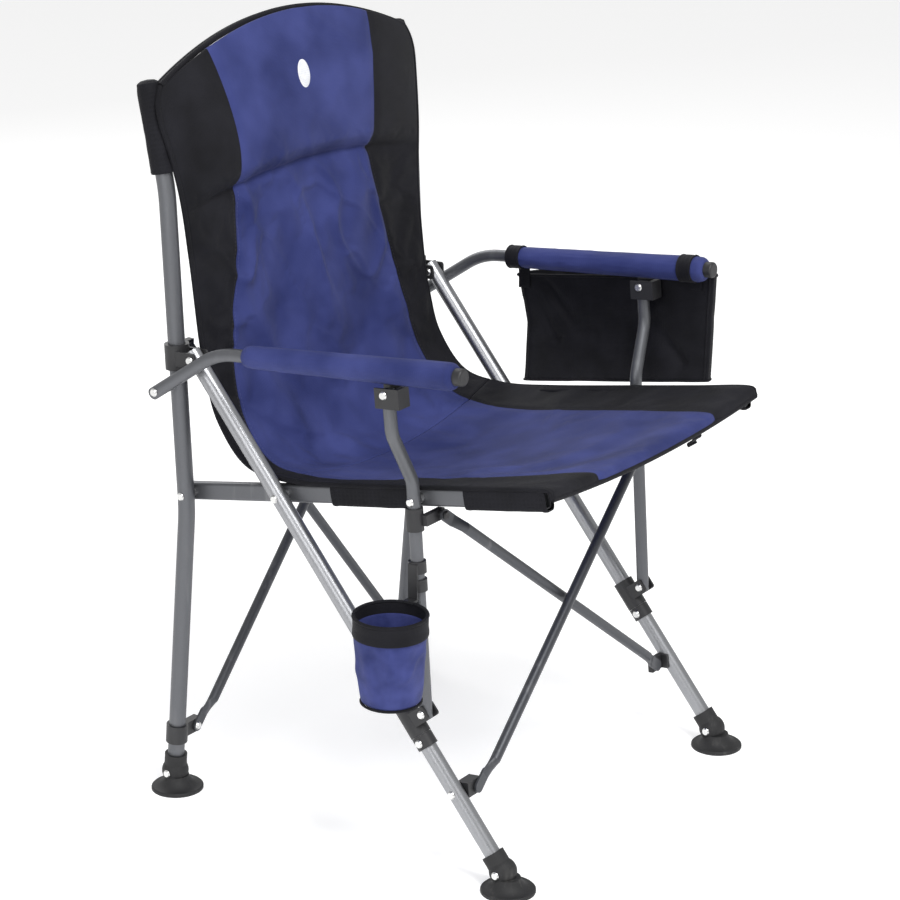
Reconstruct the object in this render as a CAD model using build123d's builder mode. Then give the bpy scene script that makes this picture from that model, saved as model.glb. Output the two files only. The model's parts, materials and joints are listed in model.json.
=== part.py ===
from build123d import *
from math import cos, degrees, radians, sin, sqrt, tan
import os

# Folding camp chair, opened out. Millimetres, +Z up, the sitter faces -Y.
# The origin is on the floor under the middle of the chair. The sitter's right hand is at -X.
os.makedirs("parts", exist_ok=True)

# ---- driving dimensions ------------------------------------------------------------------------
half_track = 272.0  # middle plane to the plane of each side's posts and legs
rail_inset = 22.0  # seat rails stand this far inside that plane
arm_outset = 34.0  # arm rests stand this far outside it
half_depth = 320.0  # middle of the chair to its furthest point front or back

post_radius = 11.5
leg_radius = 11.0
strut_radius = 8.5
arm_radius = 8.5
rear_bar_radius = 7.0
front_bar_radius = 7.0
tube_wall = 1.5
rail_width = 14.0
rail_height = 24.0
rail_corner = 4.0

seat_pivot_height = 437.0
seat_pivot_back = 252.5  # y of the pivot between a post and its seat rail
rail_slope = 10.0  # degrees, rising to the front
rail_to_leg = 160.0  # along the rail, post pivot to leg pivot
rail_to_strut = 377.7
rail_length = 565.0
rail_tail = 15.0  # rail behind the post pivot
leg_lean = 38.75  # degrees from upright
leg_top_reach = 32.0  # leg's top pivot stands this far in front of the post axis
leg_top_end = 11.0
post_lean = 2.2  # degrees, where the slider runs
post_low_lean = -5.2
post_low_bend = 415.0  # height
post_high_bend = 850.0
post_high_lean = 11.0
post_top = 985.0
post_bend_radius = 250.0

strut_foot_drop = 284.6  # strut's lower pivot below its rail pivot
strut_foot_forward = 18.0
arm_pivot_rise = 151.0  # arm's rear pivot above the seat pivot
arm_pivot_back = 14.0
strut_top_length = 148.442
strut_straight = 26.0  # straight run above the rail pivot
strut_flare = 96.0  # strut reaches the arm's plane this far above the rail pivot
strut_end = 6.0  # tube beyond the pivots at both ends

arm_bend_back = 165.0
arm_bend_height = 656.0
arm_slope = 5.1  # degrees, rising to the front
arm_tip = -213.0
arm_bend_radius = 110.0
pad_back = 118.0
pad_front = -207.0
pad_back_radius = 14.5
pad_front_radius = 17.5

foot_radius = 36.0
foot_base = 5.0
foot_pivot_height = 26.0
foot_neck_radius = 15.5
foot_neck_length = 26.0
rear_foot_back = half_depth - foot_radius

slider_radius = 16.5
slider_length = 34.0
low_slider_radius = 14.3
low_slider_length = 42.0
stop_radius = 14.0
stop_length = 18.0
ear_wall = 3.2
pin_radius = 3.0
head_radius = 5.6
head_height = 2.0

low_bracket_height = 84.0
low_bracket_back = 275.5
rear_bar_inset = 33.5  # rear bars pivot this far inside the post plane
rear_bar_reach = 8.0  # and this far in front of the post axis at the sliders
front_bar_inset = 31.0
front_bar_forward = 12.0  # the front crossing plane stands this far in front of the legs' pins
front_bar_low = 446.0  # along the leg below its rail pivot
front_bar_top_height = 479.0
front_bar_top_reach = 38.0  # in front of the strut axis
bar_spread = 8.0  # each bar of a cross stands this far to its side of the crossing plane
tab_thick = 3.0
tab_width = 16.0
loose_gap = 0.3  # rivets that let a bar tilt a little
loose_face = 1.2  # and the room left beside such a bar's flat end

seat_margin = 3.0  # between the seat's edge and the rail
back_margin = 19.0  # between the back's edge and the post's axis
panel_thick = 5.0
back_crown_rise = 61.0  # above the posts' tops, in the middle
back_corner_rise = 11.0  # and at the corners
seat_front = -half_depth

cup_radius = 48.0
cup_base_radius = 43.0
cup_top = 372.0
cup_height = 118.0
cup_rim_height = 26.0
cup_wall = 2.5
cup_out = 65.0  # from the strut's plane to the cup's axis
bag_out = 20.2  # from the arm's plane to the bag's inner wall
bag_depth = 58.8
bag_wall = 2.5

# ---- clearances --------------------------------------------------------------------------------
pin_gap = 0.05
run_gap = 0.08  # sliders on their tubes
fixed_gap = 0.05
side_gap = 0.3  # faces that pass each other
face_gap = 0.4

# ---- places worked out from the sizes above ----------------------------------------------------
rail_plane = half_track - rail_inset
arm_plane = half_track + arm_outset
rail_outer = rail_plane + rail_width / 2
seat_half = rail_plane - rail_width / 2 - seat_margin
back_half = half_track - back_margin
cup_middle = half_track + cup_out
bag_inner = arm_plane + bag_out

up_post = Vector(0, sin(radians(post_lean)), cos(radians(post_lean)))
off_post = Vector(0, -cos(radians(post_lean)), sin(radians(post_lean)))  # forward of the post
along_rail = Vector(0, -cos(radians(rail_slope)), sin(radians(rail_slope)))
over_rail = Vector(0, sin(radians(rail_slope)), cos(radians(rail_slope)))
down_leg = Vector(0, -sin(radians(leg_lean)), -cos(radians(leg_lean)))
off_leg = Vector(0, -cos(radians(leg_lean)), sin(radians(leg_lean)))
along_arm = Vector(0, -cos(radians(arm_slope)), sin(radians(arm_slope)))
over_arm = Vector(0, sin(radians(arm_slope)), cos(radians(arm_slope)))

seat_pivot = Vector(0, seat_pivot_back, seat_pivot_height)
leg_pivot = seat_pivot + along_rail * rail_to_leg
strut_pivot = seat_pivot + along_rail * rail_to_strut
strut_foot = strut_pivot + Vector(0, -strut_foot_forward, -strut_foot_drop)
arm_pivot = seat_pivot + Vector(0, arm_pivot_back, arm_pivot_rise)
strut_top = strut_pivot + Vector(0, arm_pivot_back, arm_pivot_rise).normalized() * strut_top_length
along_strut = (strut_pivot - strut_foot).normalized()
off_strut = Vector(0, -along_strut.Z, along_strut.Y)  # forward of the strut

leg_rise = (leg_top_reach - (leg_pivot - seat_pivot).dot(off_post)) / (down_leg * -1).dot(off_post)
leg_top = leg_pivot - down_leg * leg_rise
slider_middle = leg_top - off_post * leg_top_reach
low_slider_run = (strut_foot - leg_pivot).dot(down_leg)
low_slider_reach = (strut_foot - leg_pivot).dot(off_leg)
low_slider_middle = leg_pivot + down_leg * low_slider_run
stop_middle = low_slider_middle + down_leg * ((low_slider_length + stop_length) / 2 + side_gap)
front_foot_pivot = leg_pivot + down_leg * ((leg_pivot.Z - foot_pivot_height) / -down_leg.Z)

arm_bend = Vector(0, arm_bend_back, arm_bend_height)
arm_end = arm_bend + along_arm * ((arm_bend_back - arm_tip) / -along_arm.Y)
pad_start = arm_bend + along_arm * ((arm_bend_back - pad_back) / -along_arm.Y)
pad_length = (pad_back - pad_front) / -along_arm.Y

rear_bar_low = Vector(0, low_bracket_back, low_bracket_height)
rear_bar_top = slider_middle + off_post * rear_bar_reach
front_bar_foot = leg_pivot + down_leg * front_bar_low
sleeve_middle = strut_foot + along_strut * ((front_bar_top_height - strut_foot.Z) / along_strut.Z)
front_bar_top = sleeve_middle + off_strut * front_bar_top_reach

# Folded flat, each leg lies along its post. That sets how far the sliders and the sides travel.
leg_pivot_arm = (leg_pivot - seat_pivot).length
slider_rest = (slider_middle - seat_pivot).dot(up_post)
slider_travel = sqrt(leg_pivot_arm**2 - leg_top_reach**2) + leg_rise - slider_rest
rear_bar_low_height = (rear_bar_low - seat_pivot).dot(up_post)
rear_bar_offset = (rear_bar_top - rear_bar_low).dot(off_post)
rest_span = 2 * (half_track - rear_bar_inset)
rest_rise = slider_rest - rear_bar_low_height
folded_span = sqrt(rest_span**2 + rest_rise**2 - (rest_rise + slider_travel)**2)
side_travel = rest_span - folded_span


def at(side, x, point):
    """A point of the side view, moved out to x on one side of the chair."""
    return Vector(side * x, point.Y, point.Z)


def post_at(height):
    """The post's axis at a height below its upper bend."""
    bend = seat_pivot + up_post * ((post_low_bend - seat_pivot_height) / up_post.Z)
    if height >= post_low_bend:
        return bend + up_post * ((height - post_low_bend) / up_post.Z)
    return bend + Vector(0, (height - post_low_bend) * tan(radians(post_low_lean)), height - post_low_bend)


def save(builder, name):
    """Label a finished piece and write its file."""
    builder.part.label = name
    export_step(builder.part, f"parts/{name}.step")


def rod(start, direction, length, radius):
    """Add a round bar to the piece being built."""
    with BuildSketch(Plane(origin=start, z_dir=direction)) as profile:
        Circle(radius)
    extrude(profile.sketch, amount=length)


def bore(start, direction, length, radius):
    """Cut a round hole in the piece being built."""
    with BuildSketch(Plane(origin=start, z_dir=direction)) as profile:
        Circle(radius)
    extrude(profile.sketch, amount=length, mode=Mode.SUBTRACT)


def head(start, direction):
    """Add a low domed rivet head."""
    with BuildSketch(Plane(origin=start, z_dir=direction)) as profile:
        Circle(head_radius)
    extrude(profile.sketch, amount=head_height, taper=35)


def rivet(start, direction, length):
    """Add a rivet with a head at both ends of its shank."""
    rod(start, direction, length, pin_radius)
    head(start + direction * length, direction)
    head(start, direction * -1)


def washer(start, direction, length, inner):
    """Add a spacer ring round a rivet's shank."""
    with BuildSketch(Plane(origin=start, z_dir=direction)) as profile:
        Circle(inner + 3.2)
        Circle(inner, mode=Mode.SUBTRACT)
    extrude(profile.sketch, amount=length)


def cross_hole(side, point, radius=pin_radius + pin_gap, reach=400.0):
    """Cut a hole right across the piece, along X."""
    bore(at(side, 200.0, point), Vector(side, 0, 0), reach - 200.0, radius)


# ---- tubes of the two sides --------------------------------------------------------------------
def rear_post(side):
    """Rear post: leans in, stands nearly upright past the seat, then leans back."""
    low = post_at(foot_pivot_height - 12.0)
    high_bend = post_at(post_high_bend)
    top = high_bend + Vector(0, (post_top - post_high_bend) * tan(radians(post_high_lean)),
                             post_top - post_high_bend)
    bends = [at(side, half_track, point) for point in (low, post_at(post_low_bend), high_bend, top)]
    with BuildPart() as post:
        with BuildLine() as route:
            FilletPolyline(*bends, radius=post_bend_radius)
        with BuildSketch(Plane(origin=bends[0], z_dir=bends[1] - bends[0])):
            Circle(post_radius)
            Circle(post_radius - tube_wall, mode=Mode.SUBTRACT)
        sweep(path=route.line)
        for hole in (seat_pivot, arm_pivot, post_at(foot_pivot_height)):
            cross_hole(side, hole)
    return post


def seat_rail(side):
    """Seat rail: a rounded box tube from the post to the seat's front."""
    start = at(side, rail_plane, seat_pivot - along_rail * rail_tail)
    with BuildPart() as rail:
        with BuildSketch(Plane(origin=start, x_dir=(1, 0, 0), z_dir=along_rail)):
            RectangleRounded(rail_width, rail_height, rail_corner)
            RectangleRounded(rail_width - 2 * tube_wall, rail_height - 2 * tube_wall,
                             rail_corner - tube_wall, mode=Mode.SUBTRACT)
        extrude(amount=rail_length + rail_tail)
        for hole in (seat_pivot, leg_pivot, strut_pivot):
            cross_hole(side, hole)
    return rail


def front_leg(side):
    """Front leg: a straight tube from the post's slider to the front foot."""
    start = at(side, half_track, leg_top - down_leg * leg_top_end)
    length = leg_top_end + leg_rise + (front_foot_pivot - leg_pivot).length + 10.0
    with BuildPart() as leg:
        with BuildSketch(Plane(origin=start, z_dir=down_leg)):
            Circle(leg_radius)
            Circle(leg_radius - tube_wall, mode=Mode.SUBTRACT)
        extrude(amount=length)
        for hole in (leg_pivot, front_bar_foot, front_foot_pivot, stop_middle):
            cross_hole(side, hole)
    return leg


def strut(side):
    """Arm support: straight below the seat rail, bowed outward above it."""
    flare_start = strut_pivot + along_strut * strut_straight
    toward_top = (strut_top - strut_pivot).normalized()
    flare_end = strut_pivot + toward_top * strut_flare
    bends = [
        at(side, half_track, strut_foot - along_strut * strut_end),
        at(side, half_track, flare_start),
        at(side, arm_plane, flare_end),
        at(side, arm_plane, strut_top + toward_top * strut_end),
    ]
    with BuildPart() as tube:
        with BuildLine() as route:
            FilletPolyline(*bends, radius=38.0)
        with BuildSketch(Plane(origin=bends[0], z_dir=bends[1] - bends[0])):
            Circle(strut_radius)
            Circle(strut_radius - tube_wall, mode=Mode.SUBTRACT)
        sweep(path=route.line)
        cross_hole(side, strut_pivot)
    return tube


def arm_tube(side):
    """Arm rest tube: rises from the post, then runs forward."""
    toward_bend = (arm_bend - arm_pivot).normalized()
    bends = [at(side, arm_plane, point)
             for point in (arm_pivot - toward_bend * 9.0, arm_bend, arm_end)]
    with BuildPart() as tube:
        with BuildLine() as route:
            FilletPolyline(*bends, radius=arm_bend_radius)
        with BuildSketch(Plane(origin=bends[0], z_dir=bends[1] - bends[0])):
            Circle(arm_radius)
            Circle(arm_radius - tube_wall, mode=Mode.SUBTRACT)
        sweep(path=route.line)
        cross_hole(side, arm_pivot)
    return tube


# ---- feet --------------------------------------------------------------------------------------
def foot(side, pivot, base_back, toward_tube, tube_radius):
    """Rubber foot: a wide dished base, a ball and a neck that grips the tube."""
    base = Vector(side * half_track, base_back, 0)
    ball = at(side, half_track, pivot)
    with BuildPart() as rubber:
        with BuildSketch(Plane(origin=base, x_dir=(1, 0, 0), z_dir=(0, -1, 0))):
            with BuildLine():
                Polyline((0, 0), (foot_radius, 0), (foot_radius, foot_base - 1.5))
                Polyline((foot_radius, foot_base - 1.5), (foot_radius - 1.5, foot_base))
                ThreePointArc((foot_radius - 1.5, foot_base), (22.0, 10.0), (16.5, 20.0))
                Polyline((16.5, 20.0), (0, 20.0), (0, 0))
            make_face()
        revolve(axis=Axis(base, (0, 0, 1)))
        with Locations(ball):
            Sphere(foot_neck_radius + 3.0)
        rod(ball, toward_tube, foot_neck_length, foot_neck_radius)
        with Locations((base.X, base.Y, -50.0)):
            Box(200.0, 200.0, 100.0, mode=Mode.SUBTRACT)
        bore(ball - toward_tube * 12.5, toward_tube, 80.0, tube_radius + fixed_gap)
        cross_hole(side, pivot)
    return rubber


# ---- sliders and brackets ----------------------------------------------------------------------
def clevis_slider(side, middle, axis, off_axis, reach, tube_radius, radius, length, gap_radius, inner):
    """A collar that runs on a tube, with two ears held out to a pivot."""
    origin = at(side, half_track, middle) - axis * (length / 2)
    tip = reach + 9.0
    ear_middle = gap_radius + side_gap + ear_wall / 2
    frame = Plane(origin=origin, x_dir=off_axis, z_dir=axis)
    with BuildPart() as slider:
        with BuildSketch(frame):
            Circle(radius)
        extrude(amount=length)
        with BuildSketch(frame.offset(length / 2 - 10.0)):
            for way in (-1, 1):
                with Locations((tip / 2, way * ear_middle)):
                    Rectangle(tip, ear_wall)
        extrude(amount=20.0)
        fillet(slider.edges().filter_by(Axis.X).group_by(SortBy.LENGTH)[0], 4.0)
        bore(origin - axis * 5.0, axis, length + 10.0, tube_radius + run_gap)
        if inner:
            with BuildSketch(Plane(origin=at(side, half_track - inner, middle), z_dir=(-side, 0, 0))):
                Rectangle(200.0, 200.0)
            extrude(amount=50.0, mode=Mode.SUBTRACT)
    return slider


def bar_block(side, reference, away, near_face, depth, inset):
    """Box that a cross bar's end turns on. It starts at near_face and goes back along away."""
    middle = at(side, half_track - inset, reference) + away * near_face
    with BuildSketch(Plane(origin=middle, x_dir=(1, 0, 0), z_dir=away * (1 if depth > 0 else -1))) as end:
        Rectangle(tab_width + 2.0, 20.0)
    extrude(end.sketch, amount=abs(depth))


# The crossing plane of each pair of bars: its own direction and the forward normal.
front_bar_start = front_bar_foot - Vector(0, front_bar_forward, 0)
rear_rise = (rear_bar_top - rear_bar_low).normalized()
rear_normal = Vector(0, -rear_rise.Z, rear_rise.Y)
front_rise = (front_bar_top - front_bar_start).normalized()
front_normal = Vector(0, -front_rise.Z, front_rise.Y)


def rear_axis(side):
    """Axis a rear bar turns on, so that its top meets the slider both opened and folded."""
    opened = Vector(-side * rest_span, 0, 0) + up_post * rest_rise + off_post * rear_bar_offset
    folded = (Vector(-side * folded_span, 0, 0) + up_post * (rest_rise + slider_travel)
              + off_post * rear_bar_offset)
    return opened.cross(folded).normalized() * -side


def cross_bar(side, low, top, inset, normal, spread, low_face, top_face, radius):
    """A bar from this side's low pivot to the other side's high pivot, flattened at both ends."""
    start = at(side, half_track - inset, low)
    end = at(-side, half_track - inset, top)
    way = (end - start).normalized()
    length = (end - start).length
    across = normal.cross(way)
    front = 1 if spread > 0 else -1
    with BuildPart() as bar:
        with BuildSketch(Plane(origin=start + normal * spread + way * 42.0, x_dir=across, z_dir=way)):
            Circle(radius)
            Circle(radius - tube_wall, mode=Mode.SUBTRACT)
        extrude(amount=length - 84.0)
        for point, ahead, face in ((start, way, low_face), (end, way * -1, top_face)):
            plate = point + normal * face
            with BuildSketch(Plane(origin=plate + ahead * 10.0, x_dir=ahead, z_dir=normal * front)):
                SlotOverall(36.0, tab_width)
            extrude(amount=tab_thick)
            middle = plate + normal * (front * tab_thick / 2)
            with BuildSketch(Plane(origin=middle + ahead * 18.0, x_dir=across, z_dir=ahead)):
                RectangleRounded(tab_width, tab_thick, 1.0)
            round_end = point + normal * spread + ahead * 42.5
            with BuildSketch(Plane(origin=round_end, x_dir=across, z_dir=ahead)):
                Circle(radius)
            loft()
    return bar


def build_side(side, name):
    """Every rigid piece of one side of the frame."""
    out = Vector(side, 0, 0)
    ahead = side < 0  # the bar that starts on the sitter's right crosses in front
    front = 1 if ahead else -1

    save(rear_post(side), f"{name}_rear_post")
    save(seat_rail(side), f"{name}_seat_rail")
    save(front_leg(side), f"{name}_front_leg")
    save(strut(side), f"{name}_arm_strut")
    save(arm_tube(side), f"{name}_arm_tube")

    low_direction = post_at(200.0) - post_at(0.0)
    save(foot(side, post_at(foot_pivot_height), rear_foot_back, low_direction.normalized(), post_radius),
         f"{name}_rear_foot")
    save(foot(side, front_foot_pivot, front_foot_pivot.Y - 8.0, down_leg * -1, leg_radius),
         f"{name}_front_foot")

    # slider on the rear post, with an ear toward the middle for a rear cross bar
    slider = clevis_slider(side, slider_middle, up_post, off_post, leg_top_reach, post_radius,
                           slider_radius, slider_length, leg_radius, 0)
    ear_face = -bar_spread - rear_bar_radius - face_gap if ahead else 1.0 - face_gap
    ear_depth = 9.0
    with BuildPart() as rear_slider:
        add(slider.part)
        ear_start = at(side, half_track - rear_bar_inset - 10.0, rear_bar_top)
        ear_back = ear_start + rear_normal * (ear_face - ear_depth)
        ear_plane = Plane(origin=ear_back, x_dir=rear_normal, z_dir=out)
        with BuildSketch(ear_plane):
            with Locations((ear_depth / 2, 0)):
                Rectangle(ear_depth, 22.0)
        extrude(amount=rear_bar_inset + 10.0)
        bore(at(side, half_track, slider_middle) - up_post * 60.0, up_post, 120.0, post_radius + run_gap)
    save(rear_slider, f"{name}_post_slider")

    ear_out = leg_radius + side_gap + ear_wall
    with BuildPart() as slider_heads:
        head(at(side, half_track + ear_out, leg_top), out)
        head(at(side, half_track - ear_out, leg_top), out * -1)
    save(slider_heads, f"{name}_post_slider_rivets")

    low_slider = clevis_slider(side, low_slider_middle, down_leg, off_leg, low_slider_reach, leg_radius,
                               low_slider_radius, low_slider_length, strut_radius, 13.6)
    save(low_slider, f"{name}_leg_slider")
    low_out = strut_radius + side_gap + ear_wall
    with BuildPart() as low_heads:
        head(at(side, half_track + low_out, strut_foot), out)
        head(at(side, half_track - low_out, strut_foot), out * -1)
    save(low_heads, f"{name}_leg_slider_rivets")

    with BuildPart() as stop:
        rod(at(side, half_track, stop_middle) - down_leg * (stop_length / 2), down_leg, stop_length,
            stop_radius)
        bore(at(side, half_track, stop_middle) - down_leg * 40.0, down_leg, 80.0, leg_radius + fixed_gap)
        cross_hole(side, stop_middle)
    save(stop, f"{name}_stop_collar")

    # low bracket of the rear cross, clamped round the post
    rear_face = (1.0 - face_gap) * front
    pin_way = rear_axis(side)
    clamp = post_at(low_bracket_height)
    clamp_way = low_direction.normalized()
    with BuildPart() as bracket:
        rod(at(side, half_track, clamp) - clamp_way * 13.0, clamp_way, 26.0, post_radius + 3.5)
        bar_block(side, rear_bar_low, rear_normal, rear_face, -12.0 * front, rear_bar_inset)
        web = at(side, half_track - rear_bar_inset + 6.0, rear_bar_low)
        web += rear_normal * (rear_face - 6.0 * front)
        with BuildSketch(Plane(origin=web, x_dir=rear_normal, z_dir=out)):
            Rectangle(12.0, 20.0)
        extrude(amount=16.0)
        bore(at(side, half_track, clamp) - clamp_way * 40.0, clamp_way, 80.0, post_radius + fixed_gap)
        bore(at(side, half_track - rear_bar_inset, rear_bar_low) - pin_way * 40.0, pin_way, 80.0,
             pin_radius + pin_gap)
    save(bracket, f"{name}_low_bracket")

    # block that the low end of a front bar rests against, turning on a pin through the leg
    low_face = (1.0 if ahead else -bar_spread - front_bar_radius) - loose_face
    swivel_face = front_bar_forward + low_face
    swivel_depth = swivel_face + (6.0 if ahead else 12.0)
    cheek_depth = 5.5 + swivel_depth - swivel_face
    with BuildPart() as swivel:
        block_start = at(side, half_track - front_bar_inset - 9.0, front_bar_foot)
        with BuildSketch(Plane(origin=block_start + front_normal * (swivel_face - swivel_depth / 2),
                               x_dir=front_normal, z_dir=out)):
            Rectangle(swivel_depth, 20.0)
        extrude(amount=front_bar_inset + 9.0 - leg_radius - side_gap)
        cheek_start = at(side, half_track - leg_radius - side_gap - 4.7, front_bar_foot)
        with BuildSketch(Plane(origin=cheek_start + front_normal * (5.5 - cheek_depth / 2),
                               x_dir=front_normal, z_dir=out)):
            Rectangle(cheek_depth, 20.0)
        extrude(amount=4.7)
        bore(at(side, half_track - leg_radius - 4.6, front_bar_foot), out, 30.0, pin_radius + pin_gap)
    save(swivel, f"{name}_front_swivel")

    # sleeve on the strut under the seat rail, with the pin that a front bar turns on
    top_face = (-bar_spread - front_bar_radius if ahead else 1.0) - loose_face
    reach = front_bar_top_reach + top_face
    pin_foot = at(side, half_track - front_bar_inset, front_bar_top) + front_normal * (top_face - 5.0)
    pin_length = 5.0 + 2 * loose_face + tab_thick
    with BuildPart() as sleeve:
        rod(at(side, half_track, sleeve_middle) - along_strut * 15.0, along_strut, 30.0, strut_radius + 3.0)
        with BuildSketch(Plane(origin=at(side, half_track - front_bar_inset - 9.0, front_bar_top),
                               x_dir=front_normal, z_dir=out)):
            with Locations((top_face - 3.0 - (reach - 12.0) / 2, 0)):
                Rectangle(reach - 12.0, 14.0)
        extrude(amount=front_bar_inset + 9.0)
        rod(pin_foot, front_normal, 5.0, 6.5)
        rod(pin_foot, front_normal, pin_length, pin_radius)
        head(pin_foot + front_normal * pin_length, front_normal)
        bore(at(side, half_track, sleeve_middle) - along_strut * 40.0, along_strut, 80.0,
             strut_radius + run_gap)
    save(sleeve, f"{name}_strut_sleeve")

    # cross bars whose low end is on this side
    spread = bar_spread * front
    near = 1.0 * front
    rear_far = 1.0 if ahead else -bar_spread - rear_bar_radius + tab_thick
    front_far = 1.0 if ahead else -bar_spread - front_bar_radius + tab_thick
    rear_bar = cross_bar(side, rear_bar_low, rear_bar_top, rear_bar_inset, rear_normal, spread, near,
                         rear_far, rear_bar_radius)
    with BuildPart() as drilled_rear_bar:
        add(rear_bar.part)
        bore(at(side, half_track - rear_bar_inset, rear_bar_low) - pin_way * 40.0, pin_way, 80.0,
             pin_radius + pin_gap)
    save(drilled_rear_bar, f"{name}_rear_cross_bar")
    front_bar = cross_bar(side, front_bar_start, front_bar_top, front_bar_inset, front_normal, spread,
                          front_far, front_far, front_bar_radius)
    with BuildPart() as drilled_front_bar:
        add(front_bar.part)
        bore(at(-side, half_track - front_bar_inset, front_bar_top) - front_normal * 40.0, front_normal,
             80.0, pin_radius + loose_gap)
    save(drilled_front_bar, f"{name}_front_cross_bar")

    # arm bracket: two cheeks under the pad that hold the strut's top
    under_pad = (strut_top - pad_start).dot(along_arm)
    pad_radius_here = pad_back_radius + (pad_front_radius - pad_back_radius) * under_pad / pad_length
    cheek_out = strut_radius + side_gap + ear_wall
    with BuildPart() as arm_bracket:
        with BuildSketch(Plane(origin=at(side, arm_plane - cheek_out, strut_top), x_dir=along_arm,
                               z_dir=(side, 0, 0))):
            with Locations((5.0, 4.0 * side)):
                Rectangle(36.0, 26.0)
        extrude(amount=2 * cheek_out)
        slot_side = at(side, arm_plane - strut_radius - side_gap, strut_top)
        with BuildSketch(Plane(origin=slot_side, x_dir=along_arm, z_dir=(side, 0, 0))):
            with Locations((-15.0, 0)):
                Rectangle(61.0, 80.0)
        extrude(amount=2 * (strut_radius + side_gap), mode=Mode.SUBTRACT)
        axis_start = at(side, arm_plane, arm_bend)
        bore(axis_start, along_arm, 500.0, pad_radius_here + side_gap)
    save(arm_bracket, f"{name}_arm_bracket")
    with BuildPart() as arm_heads:
        head(at(side, arm_plane + cheek_out, strut_top), out)
        head(at(side, arm_plane - cheek_out, strut_top), out * -1)
    save(arm_heads, f"{name}_arm_bracket_rivets")

    with BuildPart() as pad:
        with BuildSketch(Plane(origin=at(side, arm_plane, pad_start), z_dir=along_arm)):
            Circle(pad_back_radius)
        pad_end = at(side, arm_plane, pad_start) + along_arm * pad_length
        with BuildSketch(Plane(origin=pad_end, z_dir=along_arm)):
            Circle(pad_front_radius)
        loft()
        bore(at(side, arm_plane, pad_start) - along_arm * 5.0, along_arm, pad_length + 10.0,
             arm_radius + fixed_gap)
    save(pad, f"{name}_arm_pad")

    with BuildPart() as cap:
        cap_start = at(side, arm_plane, pad_start) + along_arm * (pad_length + 0.5)
        rod(cap_start, along_arm, 12.0, arm_radius + 2.5)
        fillet(cap.edges().filter_by(GeomType.CIRCLE).sort_by(Axis.Y)[0], 3.0)
        bore(cap_start - along_arm * 5.0, along_arm, (arm_end - pad_start).length - pad_length + 5.0,
             arm_radius + fixed_gap)
    save(cap, f"{name}_arm_cap")

    # rivets, grouped by the body they are fixed in
    with BuildPart() as post_rivets:
        inner = rail_plane - rail_width / 2
        start = at(side, inner - 0.2, seat_pivot)
        rivet(start, out, half_track + post_radius + 0.2 - inner + 0.2)
        start = at(side, half_track - post_radius - 0.2, arm_pivot)
        rivet(start, out, arm_plane + arm_radius - half_track + post_radius + 0.4)
        washer(at(side, rail_outer + 0.2, seat_pivot), out, half_track - post_radius - rail_outer - 0.4,
               pin_radius + pin_gap)
        washer(at(side, half_track + post_radius + 0.2, arm_pivot), out,
               arm_outset - arm_radius - post_radius - 0.4, pin_radius + pin_gap)
        neck = foot_neck_radius + 3.0
        start = at(side, half_track - neck, post_at(foot_pivot_height))
        rivet(start, out, 2 * neck)
        low = at(side, half_track - rear_bar_inset, rear_bar_low)
        rivet(low + pin_way * (rear_face - 12.3 * front), pin_way * front,
              12.3 - abs(rear_face) + 1.0 + tab_thick + face_gap)
    save(post_rivets, f"{name}_post_rivets")

    with BuildPart() as rail_rivets:
        inner = rail_plane - rail_width / 2
        for pivot, radius in ((leg_pivot, leg_radius), (strut_pivot, strut_radius)):
            rivet(at(side, inner - 0.2, pivot), out, half_track + radius + 0.4 - inner)
            washer(at(side, rail_outer + 0.2, pivot), out, half_track - radius - rail_outer - 0.4,
                   pin_radius + pin_gap)
    save(rail_rivets, f"{name}_rail_rivets")

    with BuildPart() as leg_rivets:
        rivet(at(side, half_track - neck, front_foot_pivot), out, 2 * neck)
        rivet(at(side, half_track - stop_radius - 0.2, stop_middle), out, 2 * stop_radius + 0.4)
        pin_in = half_track - leg_radius - 4.4
        rod(at(side, pin_in, front_bar_foot), out, half_track + leg_radius + 0.2 - pin_in, pin_radius)
        head(at(side, half_track + leg_radius + 0.2, front_bar_foot), out)
    save(leg_rivets, f"{name}_leg_rivets")

    # fabric pockets: one over the post's top, two over the seat rail
    with BuildPart() as pocket:
        bend = post_at(post_high_bend)
        high_way = Vector(0, tan(radians(post_high_lean)), 1).normalized()
        start = at(side, half_track, bend + high_way * 24.0)
        length = (post_top - post_high_bend) / high_way.Z - 24.0
        rod(start, high_way, length + 4.0, post_radius + 2.5)
        bore(start - high_way * 5.0, high_way, length + 5.3, post_radius + side_gap)
    save(pocket, f"{name}_back_pocket")

    with BuildPart() as seat_pockets:
        for first, last in ((236.0, 362.0), (446.0, rail_length + 3.0)):
            start = at(side, rail_plane, seat_pivot + along_rail * first)
            with BuildSketch(Plane(origin=start, x_dir=(1, 0, 0), z_dir=along_rail)):
                RectangleRounded(rail_width + 5.0, rail_height + 5.0, rail_corner + 2.5)
            extrude(amount=last - first)
        start = at(side, rail_plane, seat_pivot + along_rail * 200.0)
        with BuildSketch(Plane(origin=start, x_dir=(1, 0, 0), z_dir=along_rail)):
            RectangleRounded(rail_width + 0.4, rail_height + 0.4, rail_corner + 0.2)
        extrude(amount=rail_length - 200.0 + 0.3, mode=Mode.SUBTRACT)
    save(seat_pockets, f"{name}_seat_pockets")


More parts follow.
